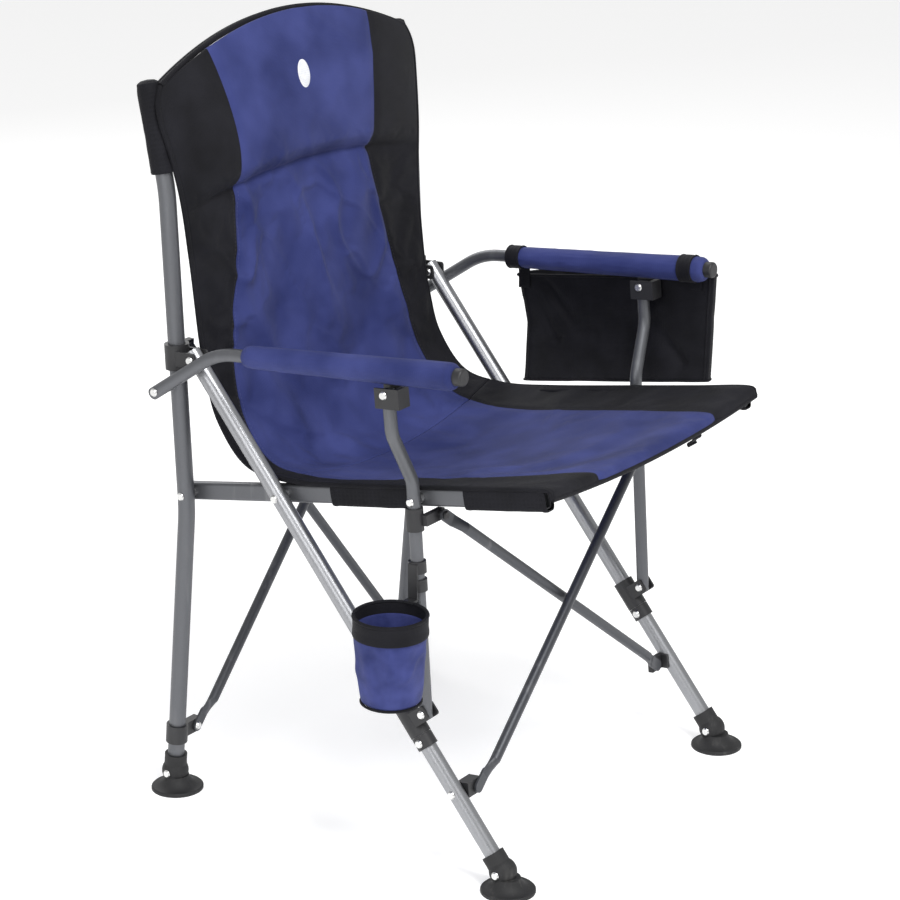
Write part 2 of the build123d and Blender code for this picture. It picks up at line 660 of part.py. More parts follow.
def panel_section(x, points):
    """A thin closed strip across the fabric, at x, along a few points of the side view."""
    with BuildSketch(Plane(origin=(x, 0, 0), x_dir=(0, 1, 0), z_dir=(1, 0, 0))) as section:
        with BuildLine() as strip:
            lower = Spline(*points)
            first = lower @ 0 + (lower % 0).rotate(Axis.Z, 90) * panel_thick
            last = lower @ 1 + (lower % 1).rotate(Axis.Z, 90) * panel_thick
            middles = [lower @ t + (lower % t).rotate(Axis.Z, 90) * panel_thick
                       for t in (0.2, 0.4, 0.6, 0.8)]
            Spline(first, *middles, last)
            Line(lower @ 0, first)
            Line(lower @ 1, last)
        make_face()
    return section.sketch


# ---- both sides --------------------------------------------------------------------------------
for side, name in ((-1, "right"), (1, "left")):
    build_side(side, name)

# ---- fabric seat and back ----------------------------------------------------------------------
seat_edge = [(160, 489), (95, 484), (10, 491), (-140, 519), (-306, 549), (seat_front + 0.5, 541)]
seat_middle = [(152, 456), (90, 452), (10, 466), (-140, 502), (-304, 538), (seat_front + 0.5, 529)]
seat_sections = [panel_section(x, points)
                 for x, points in ((-seat_half, seat_edge), (0, seat_middle), (seat_half, seat_edge))]
with BuildPart() as seat:
    loft(seat_sections)
save(seat, "seat_panel")

back_edge = [(170, 493), (204, 545), (222, 600), (232, 655), (247, 760), (266, 860),
             (293, post_top + back_corner_rise)]
back_middle = [(162, 462), (205, 520), (232, 600), (246, 690), (252, 790), (268, 900),
               (296, post_top + back_crown_rise)]
back_sections = [panel_section(x, points)
                 for x, points in ((-back_half, back_edge), (0, back_middle), (back_half, back_edge))]
with BuildPart() as back:
    loft(back_sections)
save(back, "back_panel")

# ---- cup holder on the right strut -------------------------------------------------------------
cup_back = sleeve_middle.Y - 8.0
cup_floor = cup_top - cup_height
with BuildPart() as cup:
    with BuildSketch(Plane(origin=(-cup_middle, cup_back, 0), x_dir=(1, 0, 0), z_dir=(0, -1, 0))):
        with BuildLine():
            Polyline((0, cup_floor), (cup_base_radius, cup_floor),
                     (cup_radius - 1.0, cup_top - cup_rim_height),
                     (cup_radius - 1.0 - cup_wall, cup_top - cup_rim_height),
                     (cup_base_radius - cup_wall, cup_floor + cup_wall),
                     (0, cup_floor + cup_wall), close=True)
        make_face()
    revolve(axis=Axis((-cup_middle, cup_back, 0), (0, 0, 1)))
save(cup, "cup_holder")
with BuildPart() as rim:
    with BuildSketch(Plane(origin=(-cup_middle, cup_back, cup_top - cup_rim_height + 0.1))):
        Circle(cup_radius)
        Circle(cup_radius - 1.0 - cup_wall, mode=Mode.SUBTRACT)
    extrude(amount=cup_rim_height - 0.1)
save(rim, "cup_holder_rim")

# two clips grip the right strut and a tab drops from them to the rim
with BuildPart() as clip:
    for height in (cup_top + 20.0, cup_top + 44.0):
        middle = strut_foot + along_strut * ((height - strut_foot.Z) / along_strut.Z)
        rod(at(-1, half_track, middle) - along_strut * 8.0, along_strut, 16.0, strut_radius + 3.0)
    tab_top = strut_foot + along_strut * ((cup_top + 52.0 - strut_foot.Z) / along_strut.Z)
    tab_x = half_track + strut_radius + 2.2
    tab_base = (-tab_x, tab_top.Y - 1.0, cup_top + 2.0)
    with BuildSketch(Plane(origin=tab_base, x_dir=(0, 1, 0), z_dir=(0, 0, 1))):
        Rectangle(14.0, 3.0)
    extrude(amount=48.0)
    with Locations((-(tab_x + 5.0), tab_top.Y - 1.0, cup_top + 2.0)):
        Box(13.0, 14.0, 3.0)
    bore(at(-1, half_track, strut_foot), along_strut, 400.0, strut_radius + fixed_gap)
save(clip, "cup_holder_clip")

# ---- bag on the left arm -----------------------------------------------------------------------
bag_outline = [(120, 628), (94, 546), (107, 470), (-205, 522), (-213, 676)]
bag_inside = [(116, 660), (91, 546), (103, 474), (-201.5, 525), (-209, 720)]
with BuildPart() as bag:
    with BuildSketch(Plane(origin=(bag_inner, 0, 0), x_dir=(0, 1, 0), z_dir=(1, 0, 0))):
        with BuildLine():
            Polyline(*bag_outline, close=True)
        make_face()
    extrude(amount=bag_depth)
    with BuildSketch(Plane(origin=(bag_inner + bag_wall, 0, 0), x_dir=(0, 1, 0), z_dir=(1, 0, 0))):
        with BuildLine():
            Polyline(*bag_inside, close=True)
        make_face()
    extrude(amount=bag_depth - 2 * bag_wall, mode=Mode.SUBTRACT)
save(bag, "side_bag")

with BuildPart() as straps:
    for back in (100.0, -188.0):
        run = (pad_back - back) / -along_arm.Y
        radius = pad_back_radius + (pad_front_radius - pad_back_radius) * (run + 11.0) / pad_length
        start = at(1, arm_plane, pad_start) + along_arm * (run - 11.0)
        rod(start, along_arm, 22.0, radius + 2.0)
        with BuildSketch(Plane(origin=start + Vector(radius, 0, 0), x_dir=(1, 0, 0), z_dir=along_arm)):
            with Locations(((bag_inner - side_gap - arm_plane - radius) / 2, 0)):
                Rectangle(bag_inner - side_gap - arm_plane - radius, 14.0)
        extrude(amount=22.0)
        bore(start - along_arm * 5.0, along_arm, 40.0, radius + side_gap)
save(straps, "bag_straps")
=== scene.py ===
# %% [markdown]
# # A folding camp chair
# The steel frame, its rivets, sliders and feet come from the CAD model, and they stay as they are. What is
# missing is everything sewn: the padded sling, its piping, the sleeves that hold it to the tubes, the arm
# pads, the cup holder and the side bag. We make those here, and give every piece a finish.

# %% Load the frame
import json
import math

import bmesh
import bpy
import numpy as np
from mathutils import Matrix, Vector, noise


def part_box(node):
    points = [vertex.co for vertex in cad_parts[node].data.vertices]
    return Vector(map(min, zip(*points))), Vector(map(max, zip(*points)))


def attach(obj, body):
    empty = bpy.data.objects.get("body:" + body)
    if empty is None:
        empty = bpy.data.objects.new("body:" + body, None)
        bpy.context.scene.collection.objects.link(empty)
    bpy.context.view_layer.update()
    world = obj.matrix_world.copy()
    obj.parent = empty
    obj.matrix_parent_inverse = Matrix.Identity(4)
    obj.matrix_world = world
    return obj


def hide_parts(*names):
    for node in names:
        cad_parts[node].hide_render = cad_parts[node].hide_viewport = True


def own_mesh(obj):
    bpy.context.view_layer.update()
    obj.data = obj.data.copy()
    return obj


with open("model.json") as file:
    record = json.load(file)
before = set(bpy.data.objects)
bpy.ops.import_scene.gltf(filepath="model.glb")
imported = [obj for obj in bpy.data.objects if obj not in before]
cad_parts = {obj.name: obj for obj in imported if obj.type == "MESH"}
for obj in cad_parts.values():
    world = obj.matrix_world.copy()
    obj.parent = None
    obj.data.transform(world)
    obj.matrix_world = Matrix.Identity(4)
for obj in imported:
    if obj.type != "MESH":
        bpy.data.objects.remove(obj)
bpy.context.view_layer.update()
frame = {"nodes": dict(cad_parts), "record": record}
MM = 0.001
print("frame pieces:", len(frame["nodes"]))

# %% [markdown]
# ## Stage
# A product stands on a pale floor under large soft lights. The camera is a long lens a little above the
# seat, turned to the chair's right front corner. A long lens keeps the near and far legs almost the same
# size, which is how such chairs are usually shown.

# %% Camera
LENS_MM = 114.0
EYE = Vector((-3.032, -2.0665, 1.703))
BACKWARD = Vector((-0.782, -0.536, 0.318))
camera_data = bpy.data.cameras.new("camera")
camera_data.lens = LENS_MM
camera_data.sensor_width = 36.0
camera = bpy.data.objects.new("camera", camera_data)
camera.location = EYE
camera.rotation_euler = (-BACKWARD).to_track_quat("-Z", "Y").to_euler()
bpy.context.scene.collection.objects.link(camera)
bpy.context.scene.camera = camera
print("camera", [round(c, 3) for c in camera.location])


# %% Floor and lights
def clear_selection():
    """Leave edit mode and select nothing."""
    if bpy.context.object and bpy.context.object.mode != "OBJECT":
        bpy.ops.object.mode_set(mode="OBJECT")
    bpy.ops.object.select_all(action="DESELECT")


def soft_light(name, place, aim, size, power):
    """A large square lamp that looks at a point."""
    data = bpy.data.lights.new(name, "AREA")
    data.size = size
    data.energy = power
    lamp = bpy.data.objects.new(name, data)
    lamp.location = place
    lamp.rotation_euler = (Vector(aim) - Vector(place)).to_track_quat("-Z", "Y").to_euler()
    bpy.context.scene.collection.objects.link(lamp)


clear_selection()
bpy.ops.mesh.primitive_plane_add(size=60.0, location=(0, 0, 0))
floor = bpy.context.object
floor.name = "floor"
pale = bpy.data.materials.new("pale_floor")
pale.use_nodes = True
pale.node_tree.nodes["Principled BSDF"].inputs["Base Color"].default_value = (0.93, 0.93, 0.93, 1)
pale.node_tree.nodes["Principled BSDF"].inputs["Roughness"].default_value = 0.9
pale.node_tree.nodes["Principled BSDF"].inputs["Emission Color"].default_value = (1.0, 1.0, 1.0, 1)
pale.node_tree.nodes["Principled BSDF"].inputs["Emission Strength"].default_value = 0.3
floor.data.materials.append(pale)

soft_light("key", (-1.0, -1.9, 3.4), (0, 0, 0.6), 1.3, 95.0)
soft_light("front_fill", (-3.2, -0.6, 1.6), (0, 0, 0.5), 1.6, 26.0)
soft_light("back_rim", (1.6, 2.6, 2.6), (0, 0, 0.7), 2.0, 40.0)
world = bpy.data.worlds.new("studio")
world.use_nodes = True
world.node_tree.nodes["Background"].inputs["Color"].default_value = (1.0, 1.0, 1.0, 1)
world.node_tree.nodes["Background"].inputs["Strength"].default_value = 0.6
bpy.context.scene.world = world
bpy.context.scene.view_settings.view_transform = "Standard"
print("lights ready")

# %% [markdown]
# ## Shared effects
# Several finishes need the same effect at different strengths, so each effect is a node group with named
# values. *Cloth weave* crosses two sets of fine waves on the cloth's own map. *Soft creases* are the dents
# of handled fabric, with painted shade in the hollows and painted light on the ridges. *Fine grain* is the
# orange peel of powder coat and moulded plastic.
# A last group paints thin uneven streaks of reflection onto a surface: lighter on dark finishes, darker on
# bright steel.


# %% Node helpers
def new_group(name, values, outputs):
    """An empty node group with numbered inputs and the outputs named."""
    group = bpy.data.node_groups.new(name, "ShaderNodeTree")
    for title, kind, start in values:
        socket = group.interface.new_socket(name=title, in_out="INPUT", socket_type=kind)
        if kind != "NodeSocketVector":
            socket.default_value = start
    for title, kind in outputs:
        group.interface.new_socket(name=title, in_out="OUTPUT", socket_type=kind)
    entry = group.nodes.new("NodeGroupInput")
    leave = group.nodes.new("NodeGroupOutput")
    return group, entry, leave


def math_node(tree, operation, first, second):
    """A Math node whose two inputs are sockets or numbers."""
    node = tree.nodes.new("ShaderNodeMath")
    node.operation = operation
    for slot, value in ((0, first), (1, second)):
        if isinstance(value, bpy.types.NodeSocket):
            tree.links.new(value, node.inputs[slot])
        elif value is not None:
            node.inputs[slot].default_value = value
    return node.outputs[0]


def noise_node(tree, vector, scale, detail):
    """A Noise node read at a scale, which is a socket or a number."""
    node = tree.nodes.new("ShaderNodeTexNoise")
    node.inputs["Detail"].default_value = detail
    tree.links.new(vector, node.inputs["Vector"])
    if isinstance(scale, bpy.types.NodeSocket):
        tree.links.new(scale, node.inputs["Scale"])
    else:
        node.inputs["Scale"].default_value = scale
    return node.outputs["Fac"]


def spread(tree, value, low, high):
    """A value from 0 to 1 that rises between two levels of another."""
    node = tree.nodes.new("ShaderNodeMapRange")
    node.inputs["From Min"].default_value = low
    node.inputs["From Max"].default_value = high
    tree.links.new(value, node.inputs["Value"])
    return node.outputs["Result"]


# %% Cloth weave
weave_group, entry, leave = new_group(
    "Cloth weave",
    [("Map", "NodeSocketVector", None), ("Threads per metre", "NodeSocketFloat", 900.0)],
    [("Height", "NodeSocketFloat"), ("Shade", "NodeSocketFloat")],
)
waves = []
for direction in ("X", "Y"):
    wave = weave_group.nodes.new("ShaderNodeTexWave")
    wave.bands_direction = direction
    wave.inputs["Distortion"].default_value = 0.6
    wave.inputs["Detail"].default_value = 0.0
    weave_group.links.new(entry.outputs["Map"], wave.inputs["Vector"])
    turns = math_node(weave_group, "MULTIPLY", entry.outputs["Threads per metre"], 0.05 * math.pi)
    weave_group.links.new(turns, wave.inputs["Scale"])
    waves.append(wave.outputs["Fac"])
threads = math_node(weave_group, "MAXIMUM", waves[0], waves[1])
weave_group.links.new(threads, leave.inputs["Height"])
gaps = math_node(weave_group, "MULTIPLY", threads, 0.16)
weave_group.links.new(math_node(weave_group, "ADD", gaps, 0.86), leave.inputs["Shade"])
print("group", weave_group.name)

# %% Soft creases
crease_group, entry, leave = new_group(
    "Soft creases",
    [("Place", "NodeSocketVector", None), ("Scale", "NodeSocketFloat", 14.0)],
    [("Height", "NodeSocketFloat"), ("Fade", "NodeSocketFloat")],
)
broad = noise_node(crease_group, entry.outputs["Place"], entry.outputs["Scale"], 2.0)
ridge = math_node(crease_group, "ABSOLUTE", math_node(crease_group, "SUBTRACT", broad, 0.5), None)
sharp = math_node(crease_group, "SUBTRACT", 1.0, math_node(crease_group, "MULTIPLY", ridge, 7.0))
sharp = math_node(crease_group, "MAXIMUM", sharp, 0.0)
lift = math_node(crease_group, "MULTIPLY", sharp, 0.25)
crease_group.links.new(math_node(crease_group, "ADD", broad, lift), leave.inputs["Height"])
# This mask paints light on the crease ridges and shade in the hollows.
crease_group.links.new(spread(crease_group, broad, 0.3, 0.7), leave.inputs["Fade"])
print("group", crease_group.name)

# %% Fine grain and handling marks
grain_group, entry, leave = new_group(
    "Fine grain",
    [("Place", "NodeSocketVector", None), ("Scale", "NodeSocketFloat", 900.0)],
    [("Height", "NodeSocketFloat"), ("Speck", "NodeSocketFloat")],
)
fine = noise_node(grain_group, entry.outputs["Place"], entry.outputs["Scale"], 3.0)
grain_group.links.new(fine, leave.inputs["Height"])
grain_group.links.new(spread(grain_group, fine, 0.35, 0.65), leave.inputs["Speck"])

# A mask of thin uneven streaks that paints reflection onto a surface.
reflection_streak_group, entry, leave = new_group(
    "Handling marks",
    [("Place", "NodeSocketVector", None), ("Amount", "NodeSocketFloat", 0.3)],
    [("Mask", "NodeSocketFloat")],
)
stretch = reflection_streak_group.nodes.new("ShaderNodeMapping")
stretch.inputs["Scale"].default_value = (60.0, 60.0, 6.0)
reflection_streak_group.links.new(entry.outputs["Place"], stretch.inputs["Vector"])
streaks = noise_node(reflection_streak_group, stretch.outputs["Vector"], 1.0, 4.0)
patches = noise_node(reflection_streak_group, entry.outputs["Place"], 9.0, 2.0)
both = math_node(reflection_streak_group, "MULTIPLY", spread(reflection_streak_group, streaks, 0.55, 0.75),
                 spread(reflection_streak_group, patches, 0.45, 0.65))
mask = math_node(reflection_streak_group, "MULTIPLY", both, entry.outputs["Amount"])
reflection_streak_group.links.new(mask, leave.inputs["Mask"])
print("groups", grain_group.name, reflection_streak_group.name)

# %% [markdown]
# ## Finishes
# Paint, plastic and rubber read the object's own coordinates, so the pattern stays on the piece as the
# chair folds. Cloth reads the piece's map, which is laid out in metres, so that the threads follow the cut.
# Numbers that are the same all over, such as the sheen of polyester, sit on the shader's own sockets.


# %% Finish helpers
def start_material(name):
    """A material, its tree and its Principled shader."""
    material = bpy.data.materials.new(name)
    material.use_nodes = True
    return material, material.node_tree, material.node_tree.nodes["Principled BSDF"]


def place_group(tree, group, **values):
    """Put a node group in a tree and set its numbers."""
    node = tree.nodes.new("ShaderNodeGroup")
    node.node_tree = group
    for title, value in values.items():
        node.inputs[title.replace("_", " ")].default_value = value
    return node


def mixed(tree, mask, low, high):
    """A colour between two, by a mask."""
    node = tree.nodes.new("ShaderNodeMix")
    node.data_type = "RGBA"
    tree.links.new(mask, node.inputs["Factor"])
    for socket, colour in ((node.inputs["A"], low), (node.inputs["B"], high)):
        if isinstance(colour, bpy.types.NodeSocket):
            tree.links.new(colour, socket)
        else:
            socket.default_value = (*colour, 1.0)
    return node.outputs["Result"]


def bumped(tree, shader, height, distance, strength):
    """Feed a height into the shader's normal."""
    bump = tree.nodes.new("ShaderNodeBump")
    bump.inputs["Distance"].default_value = distance
    bump.inputs["Strength"].default_value = strength
    tree.links.new(height, bump.inputs["Height"])
    tree.links.new(bump.outputs["Normal"], shader.inputs["Normal"])


def cloth_finish(name, deep, lit_ridge_colour, threads, sheen, crease_scale, crease_depth):
    """Woven polyester: threads on the piece's map, broad creases on its place, painted shade in the crease
    hollows and painted light on the ridges.
    """
    material, tree, shader = start_material(name)
    where = tree.nodes.new("ShaderNodeTexCoord")
    weave = place_group(tree, weave_group, Threads_per_metre=threads)
    tree.links.new(where.outputs["UV"], weave.inputs["Map"])
    crease = place_group(tree, crease_group, Scale=crease_scale)
    tree.links.new(where.outputs["Object"], crease.inputs["Place"])
    # Painted shade in the crease hollows and painted light on the ridges.
    painted_light = mixed(tree, crease.outputs["Fade"], deep, lit_ridge_colour)
    shaded = tree.nodes.new("ShaderNodeMix")
    shaded.data_type = "RGBA"
    shaded.blend_type = "MULTIPLY"
    shaded.inputs["Factor"].default_value = 1.0
    tree.links.new(painted_light, shaded.inputs["A"])
    tree.links.new(weave.outputs["Shade"], shaded.inputs["B"])
    tree.links.new(shaded.outputs["Result"], shader.inputs["Base Color"])
    rough = math_node(tree, "MULTIPLY", crease.outputs["Fade"], 0.12)
    tree.links.new(math_node(tree, "ADD", rough, 0.6), shader.inputs["Roughness"])
    raised = math_node(tree, "MULTIPLY", weave.outputs["Height"], 0.1)
    dents = math_node(tree, "MULTIPLY", crease.outputs["Height"], crease_depth)
    height = math_node(tree, "ADD", raised, dents)
    bumped(tree, shader, height, 0.004, 0.6)
    shader.inputs["Sheen Weight"].default_value = sheen
    shader.inputs["Sheen Roughness"].default_value = 0.5
    shader.inputs["Specular IOR Level"].default_value = 0.12
    return material


def paint_finish(name, colour, painted_light, metallic, roughness, reflection_streaks, grain):
    """Powder coat or bare metal, with fine grain and a few streaks of painted reflection."""
    material, tree, shader = start_material(name)
    where = tree.nodes.new("ShaderNodeTexCoord")
    speck = place_group(tree, grain_group, Scale=grain)
    tree.links.new(where.outputs["Object"], speck.inputs["Place"])
    streak = place_group(tree, reflection_streak_group, Amount=reflection_streaks)
    tree.links.new(where.outputs["Object"], streak.inputs["Place"])
    darker = tuple(c * 0.86 for c in colour)
    base = mixed(tree, speck.outputs["Speck"], darker, colour)
    # The streaks blend in a painted reflection colour.
    tree.links.new(mixed(tree, streak.outputs["Mask"], base, painted_light), shader.inputs["Base Color"])
    rough = math_node(tree, "MULTIPLY", speck.outputs["Speck"], 0.12)
    tree.links.new(math_node(tree, "ADD", rough, roughness), shader.inputs["Roughness"])
    bumped(tree, shader, speck.outputs["Height"], 0.0003, 0.35)
    shader.inputs["Metallic"].default_value = metallic
    return material


# %% The finishes themselves
# The blue's two colours: the darker one sits in the crease hollows as painted shade, the lighter one on the
# ridges as painted light.
BLUE_DEEP = (0.021, 0.029, 0.118)
BLUE_LIT_RIDGE = (0.046, 0.058, 0.198)
finishes = {
    # The second colour of each paint finish is the painted reflection colour of its streaks.
    "grey_tube": paint_finish(
        "grey_powder_coat", (0.13, 0.134, 0.145), (0.32, 0.32, 0.33), 0.6, 0.36, 0.5, 1200.0
    ),
    "leg_tube": paint_finish(
        "bright_leg_coat", (0.34, 0.345, 0.36), (0.6, 0.6, 0.6), 0.9, 0.27, 0.5, 1500.0
    ),
    "dark_tube": paint_finish(
        "dark_bar_coat", (0.07, 0.073, 0.082), (0.26, 0.26, 0.27), 0.5, 0.38, 0.6, 1200.0
    ),
    "rivet_steel": paint_finish("domed_steel", (0.78, 0.78, 0.77), (0.5, 0.5, 0.5), 1.0, 0.22, 0.4, 2200.0),
    "black_plastic": paint_finish(
        "moulded_nylon", (0.018, 0.018, 0.02), (0.10, 0.10, 0.10), 0.0, 0.42, 0.35, 1500.0
    ),
    "foot_rubber": paint_finish(
        "foot_rubber", (0.013, 0.013, 0.014), (0.09, 0.088, 0.084), 0.0, 0.62, 0.6, 700.0
    ),
    # In each cloth finish the darker colour is painted shade in the crease hollows and the lighter colour is
    # painted light on the ridges.
    "blue_fabric": cloth_finish("blue_polyester", BLUE_DEEP, BLUE_LIT_RIDGE, 1100.0, 0.04, 14.0, 0.3),
    "black_fabric": cloth_finish(
        "black_polyester", (0.006, 0.006, 0.008), (0.013, 0.013, 0.017), 1100.0, 0.02, 18.0, 0.3
    ),
    "cup_blue": cloth_finish("cup_polyester", BLUE_DEEP, (0.056, 0.068, 0.225), 1100.0, 0.04, 30.0, 0.4),
}
slot_of = {row["node"]: row["material_slot"] for row in frame["record"]["subparts"]}
for name, node in frame["nodes"].items():
    node.data.materials.clear()
    node.data.materials.append(finishes[slot_of[name]])
print("finishes", sorted(finishes), "slots read", len(slot_of))

# %% [markdown]
# ## Tools for sewn pieces
# A sewn piece starts as a flat grid, which is how cloth is cut. Each point of the grid is then moved to its
# place by a rule, its map is laid out in metres, and modifiers give it thickness and a smooth surface.


# %% Mesh tools
def take(obj):
    """Make one object the only one selected."""
    clear_selection()
    obj.select_set(True)
    bpy.context.view_layer.objects.active = obj


def apply_modifier(obj, kind, **settings):
    """Add a modifier, set it and apply it."""
    take(obj)
    modifier = obj.modifiers.new(kind.lower(), kind)
    for key, value in settings.items():
        setattr(modifier, key, value)
    bpy.ops.object.modifier_apply(modifier=modifier.name)


def settle(obj):
    """Bake the object's place into its mesh and smooth it by angle."""
    take(obj)
    bpy.ops.object.transform_apply(location=True, rotation=True, scale=True)
    bpy.ops.object.shade_smooth_by_angle(angle=math.radians(40))


def face_out(obj):
    """Merge doubles and point all faces outwards."""
    take(obj)
    bpy.ops.object.mode_set(mode="EDIT")
    bpy.ops.mesh.select_all(action="SELECT")
    bpy.ops.mesh.remove_doubles(threshold=0.00001)
    bpy.ops.mesh.normals_make_consistent(inside=False)
    bpy.ops.object.mode_set(mode="OBJECT")


def cloth_grid(name, across, along):
    """A flat grid from -1 to 1 each way, with a map."""
    clear_selection()
    bpy.ops.mesh.primitive_grid_add(x_subdivisions=across, y_subdivisions=along, size=2.0)
    sheet = bpy.context.object
    sheet.name = name
    return sheet


def lay_out(sheet, rule, width, length):
    """Move each point of a flat grid by a rule, and lay its map out in metres."""
    mesh = sheet.data
    mesh.uv_layers.active.name = "cut"
    flat = [v.co.copy() for v in mesh.vertices]
    for loop in mesh.loops:
        s, t, _ = flat[loop.vertex_index]
        mesh.uv_layers.active.data[loop.index].uv = ((s + 1) / 2 * width, (t + 1) / 2 * length)
    for vertex, start in zip(mesh.vertices, flat):
        vertex.co = rule(start.x, start.y)
    mesh.update()


def smooth_line(points, steps=24):
    """Points of a smooth line through a few given ones."""
    fine = []
    for i in range(len(points) - 1):
        a, b = Vector(points[i]), Vector(points[i + 1])
        before = Vector(points[i - 1]) if i > 0 else a - (b - a)
        after = Vector(points[i + 2]) if i + 2 < len(points) else b + (b - a)
        for k in range(steps):
            u = k / steps
            fine.append(0.5 * (2 * a + (b - before) * u + (2 * before - 5 * a + 4 * b - after) * u * u
                               + (3 * a - before - 3 * b + after) * u ** 3))
    fine.append(Vector(points[-1]))
    return fine


def piping(name, points, radius, closed=False):
    """A sewn-in cord: a round line through points, made a mesh."""
    data = bpy.data.curves.new(name, "CURVE")
    data.dimensions = "3D"
    data.bevel_depth = radius
    data.bevel_resolution = 3
    data.use_fill_caps = True
    line = data.splines.new("POLY")
    line.points.add(len(points) - 1)
    for target, point in zip(line.points, points):
        target.co = (*point, 1.0)
    line.use_cyclic_u = closed
    obj = bpy.data.objects.new(name, data)
    bpy.context.scene.collection.objects.link(obj)
    take(obj)
    bpy.ops.object.convert(target="MESH")
    made = bpy.context.object
    face_out(made)
    made.data.materials.append(finishes["black_fabric"])
    settle(made)
    return made


def wrinkle(place, scale, seed):
    """A height near -1 to 1: wide hollows with a few soft ridges, the same on every run."""
    p = Vector(place) * scale + Vector((seed * 7.3, seed * 3.1, seed * 5.7))
    ridge = max(0.0, 1.0 - abs(noise.noise(p * 0.8 + Vector((3.0, 1.0, 2.0)))) * 6.0)
    return noise.noise(p) * 1.2 + 0.9 * ridge * ridge


print("tools ready")

# %% [markdown]
# ## The sling
# Seat and back are one long padded sling. Seen from the side its edges run on the rails and behind the
# arms, and its middle hangs lower. So the shape is two lines, one for the edge and one for the middle, and
# the cloth bows between them. It is cut in two at the bend, since the seat turns up with its rails when the
# chair folds while the back stays with the posts. Black bands are sewn on along both sides, and the grid's
# columns follow their seams.

# %% The sling's lines
# Each pair is (y, z) of the edge and of the middle, from the front hem back and up, in millimetres.
SLING = [
    ((-319, 540), (-318, 527)),
    ((-306, 552), (-303, 538)),
    ((-225, 538), (-225, 520)),
    ((-140, 523), (-140, 501)),
    ((10, 497), (10, 465)),
    ((95, 487), (88, 453)),
    ((160, 496), (150, 463)),
    ((203, 545), (202, 520)),
    ((221, 600), (227, 600)),
    ((231, 655), (241, 690)),
    ((242, 760), (247, 790)),
    ((250, 862), (258, 892)),
    ((274, 986), (288, 1044)),
]
# Half the sling's width and half the blue panel's width at the same places.
HALF_WIDTH = [257, 257, 257, 257, 257, 256, 254, 253, 253, 253, 255, 266, 288]
HALF_BLUE = [147, 148, 158, 168, 186, 197, 204, 204, 198, 184, 156, 150, 176]
edge_line = smooth_line([(0, e[0] * MM, e[1] * MM) for e, _ in SLING])
middle_line = smooth_line([(0, m[0] * MM, m[1] * MM) for _, m in SLING])
width_line = [p.x for p in smooth_line([(w * MM, 0, 0) for w in HALF_WIDTH])]
blue_line = [p.x for p in smooth_line([(w * MM, 0, 0) for w in HALF_BLUE])]
run = [0.0]
for a, b in zip(middle_line, middle_line[1:]):
    run.append(run[-1] + (b - a).length)
SLING_LENGTH = run[-1]
CUT = run[int(5.35 * 24)] / SLING_LENGTH
HEADREST = run[int(10.62 * 24)] / SLING_LENGTH
print("sling length", round(SLING_LENGTH, 3), "cut at", round(CUT, 3), "headrest at", round(HEADREST, 3))


# %% The sling's surface
def along_sling(values, share):
    """A value of one of the lines at a share of the sling's length."""
    return float(np.interp(share * SLING_LENGTH, run, values))


EDGE = [[p[k] for p in edge_line] for k in (1, 2)]
MIDDLE = [[p[k] for p in middle_line] for k in (1, 2)]
SEAM = 0.62
CORNER_FROM = 0.93


def sling_point(s, share):
    """A point of the sling: s is -1 to 1 across, share 0 at the front hem to 1 at the top."""
    half, blue = along_sling(width_line, share), along_sling(blue_line, share)
    half -= 0.020 * max(0.0, (share - CORNER_FROM) / (1 - CORNER_FROM)) ** 3
    side = abs(s)
    x = side / SEAM * blue if side <= SEAM else blue + (side - SEAM) / (1 - SEAM) * (half - blue)
    bow = (x / half) ** 2
    y, z = [along_sling(m, share) * (1 - bow) + along_sling(e, share) * bow for m, e in zip(MIDDLE, EDGE)]
    return Vector((math.copysign(x, s), y, z))


def sling_normal(s, share):
    """The way the sitter's side of the sling faces."""
    step = 0.004
    low, high = max(share - step, 0.0), min(share + step, 1.0)
    up = sling_point(s, high) - sling_point(s, low)
    right = sling_point(min(s + 0.01, 1), share) - sling_point(max(s - 0.01, -1), share)
    return right.cross(up).normalized()


def swell(x, low, high):
    """A smooth bump from 0 at low to 1 midway and 0 at high."""
    if not low < x < high:
        return 0.0
    return math.sin((x - low) / (high - low) * math.pi)


def sling_relief(s, share):
    """How far the padded surface stands out from the plain sling."""
    p = sling_point(s, share)
    side = abs(s)
    pad = swell(share, HEADREST, 1.012) ** 0.4 * (1 - side ** 4) * 0.020
    crease = -math.exp(-((share - HEADREST) / 0.010) ** 2) * (1 - side ** 6) * 0.006
    slope = 0.0 if share > HEADREST else math.exp(-(HEADREST - share) / 0.05) * (1 - side ** 4)
    crease -= slope * 0.006
    seam = -math.exp(-((side - SEAM) / 0.025) ** 2) * 0.0022
    hold = (1 - side ** 8) * min(1.0, share / 0.04)
    middle_back = math.exp(-((share - 0.73) / 0.095) ** 2)
    bend = math.exp(-((share - 0.46) / 0.055) ** 2)
    creased = Vector((p.x * 1.3 + p.z * 0.9, p.z * 0.5 - p.x * 0.4, share * 0.5))
    folds = wrinkle(creased, 10.0, 1) * 0.0075 + wrinkle(creased, 19.0, 2) * 0.0042
    folds *= middle_back * hold * (1.0 if side < SEAM else 0.45)
    sag = wrinkle((p.x, share * 1.2, 0), 6.0, 3) * 0.0045 * bend * hold
    quiet = wrinkle((p.x * 0.6, share * 1.1, 1.0), 5.0, 5) * 0.0018 * hold
    return pad + crease + seam + folds + sag + quiet


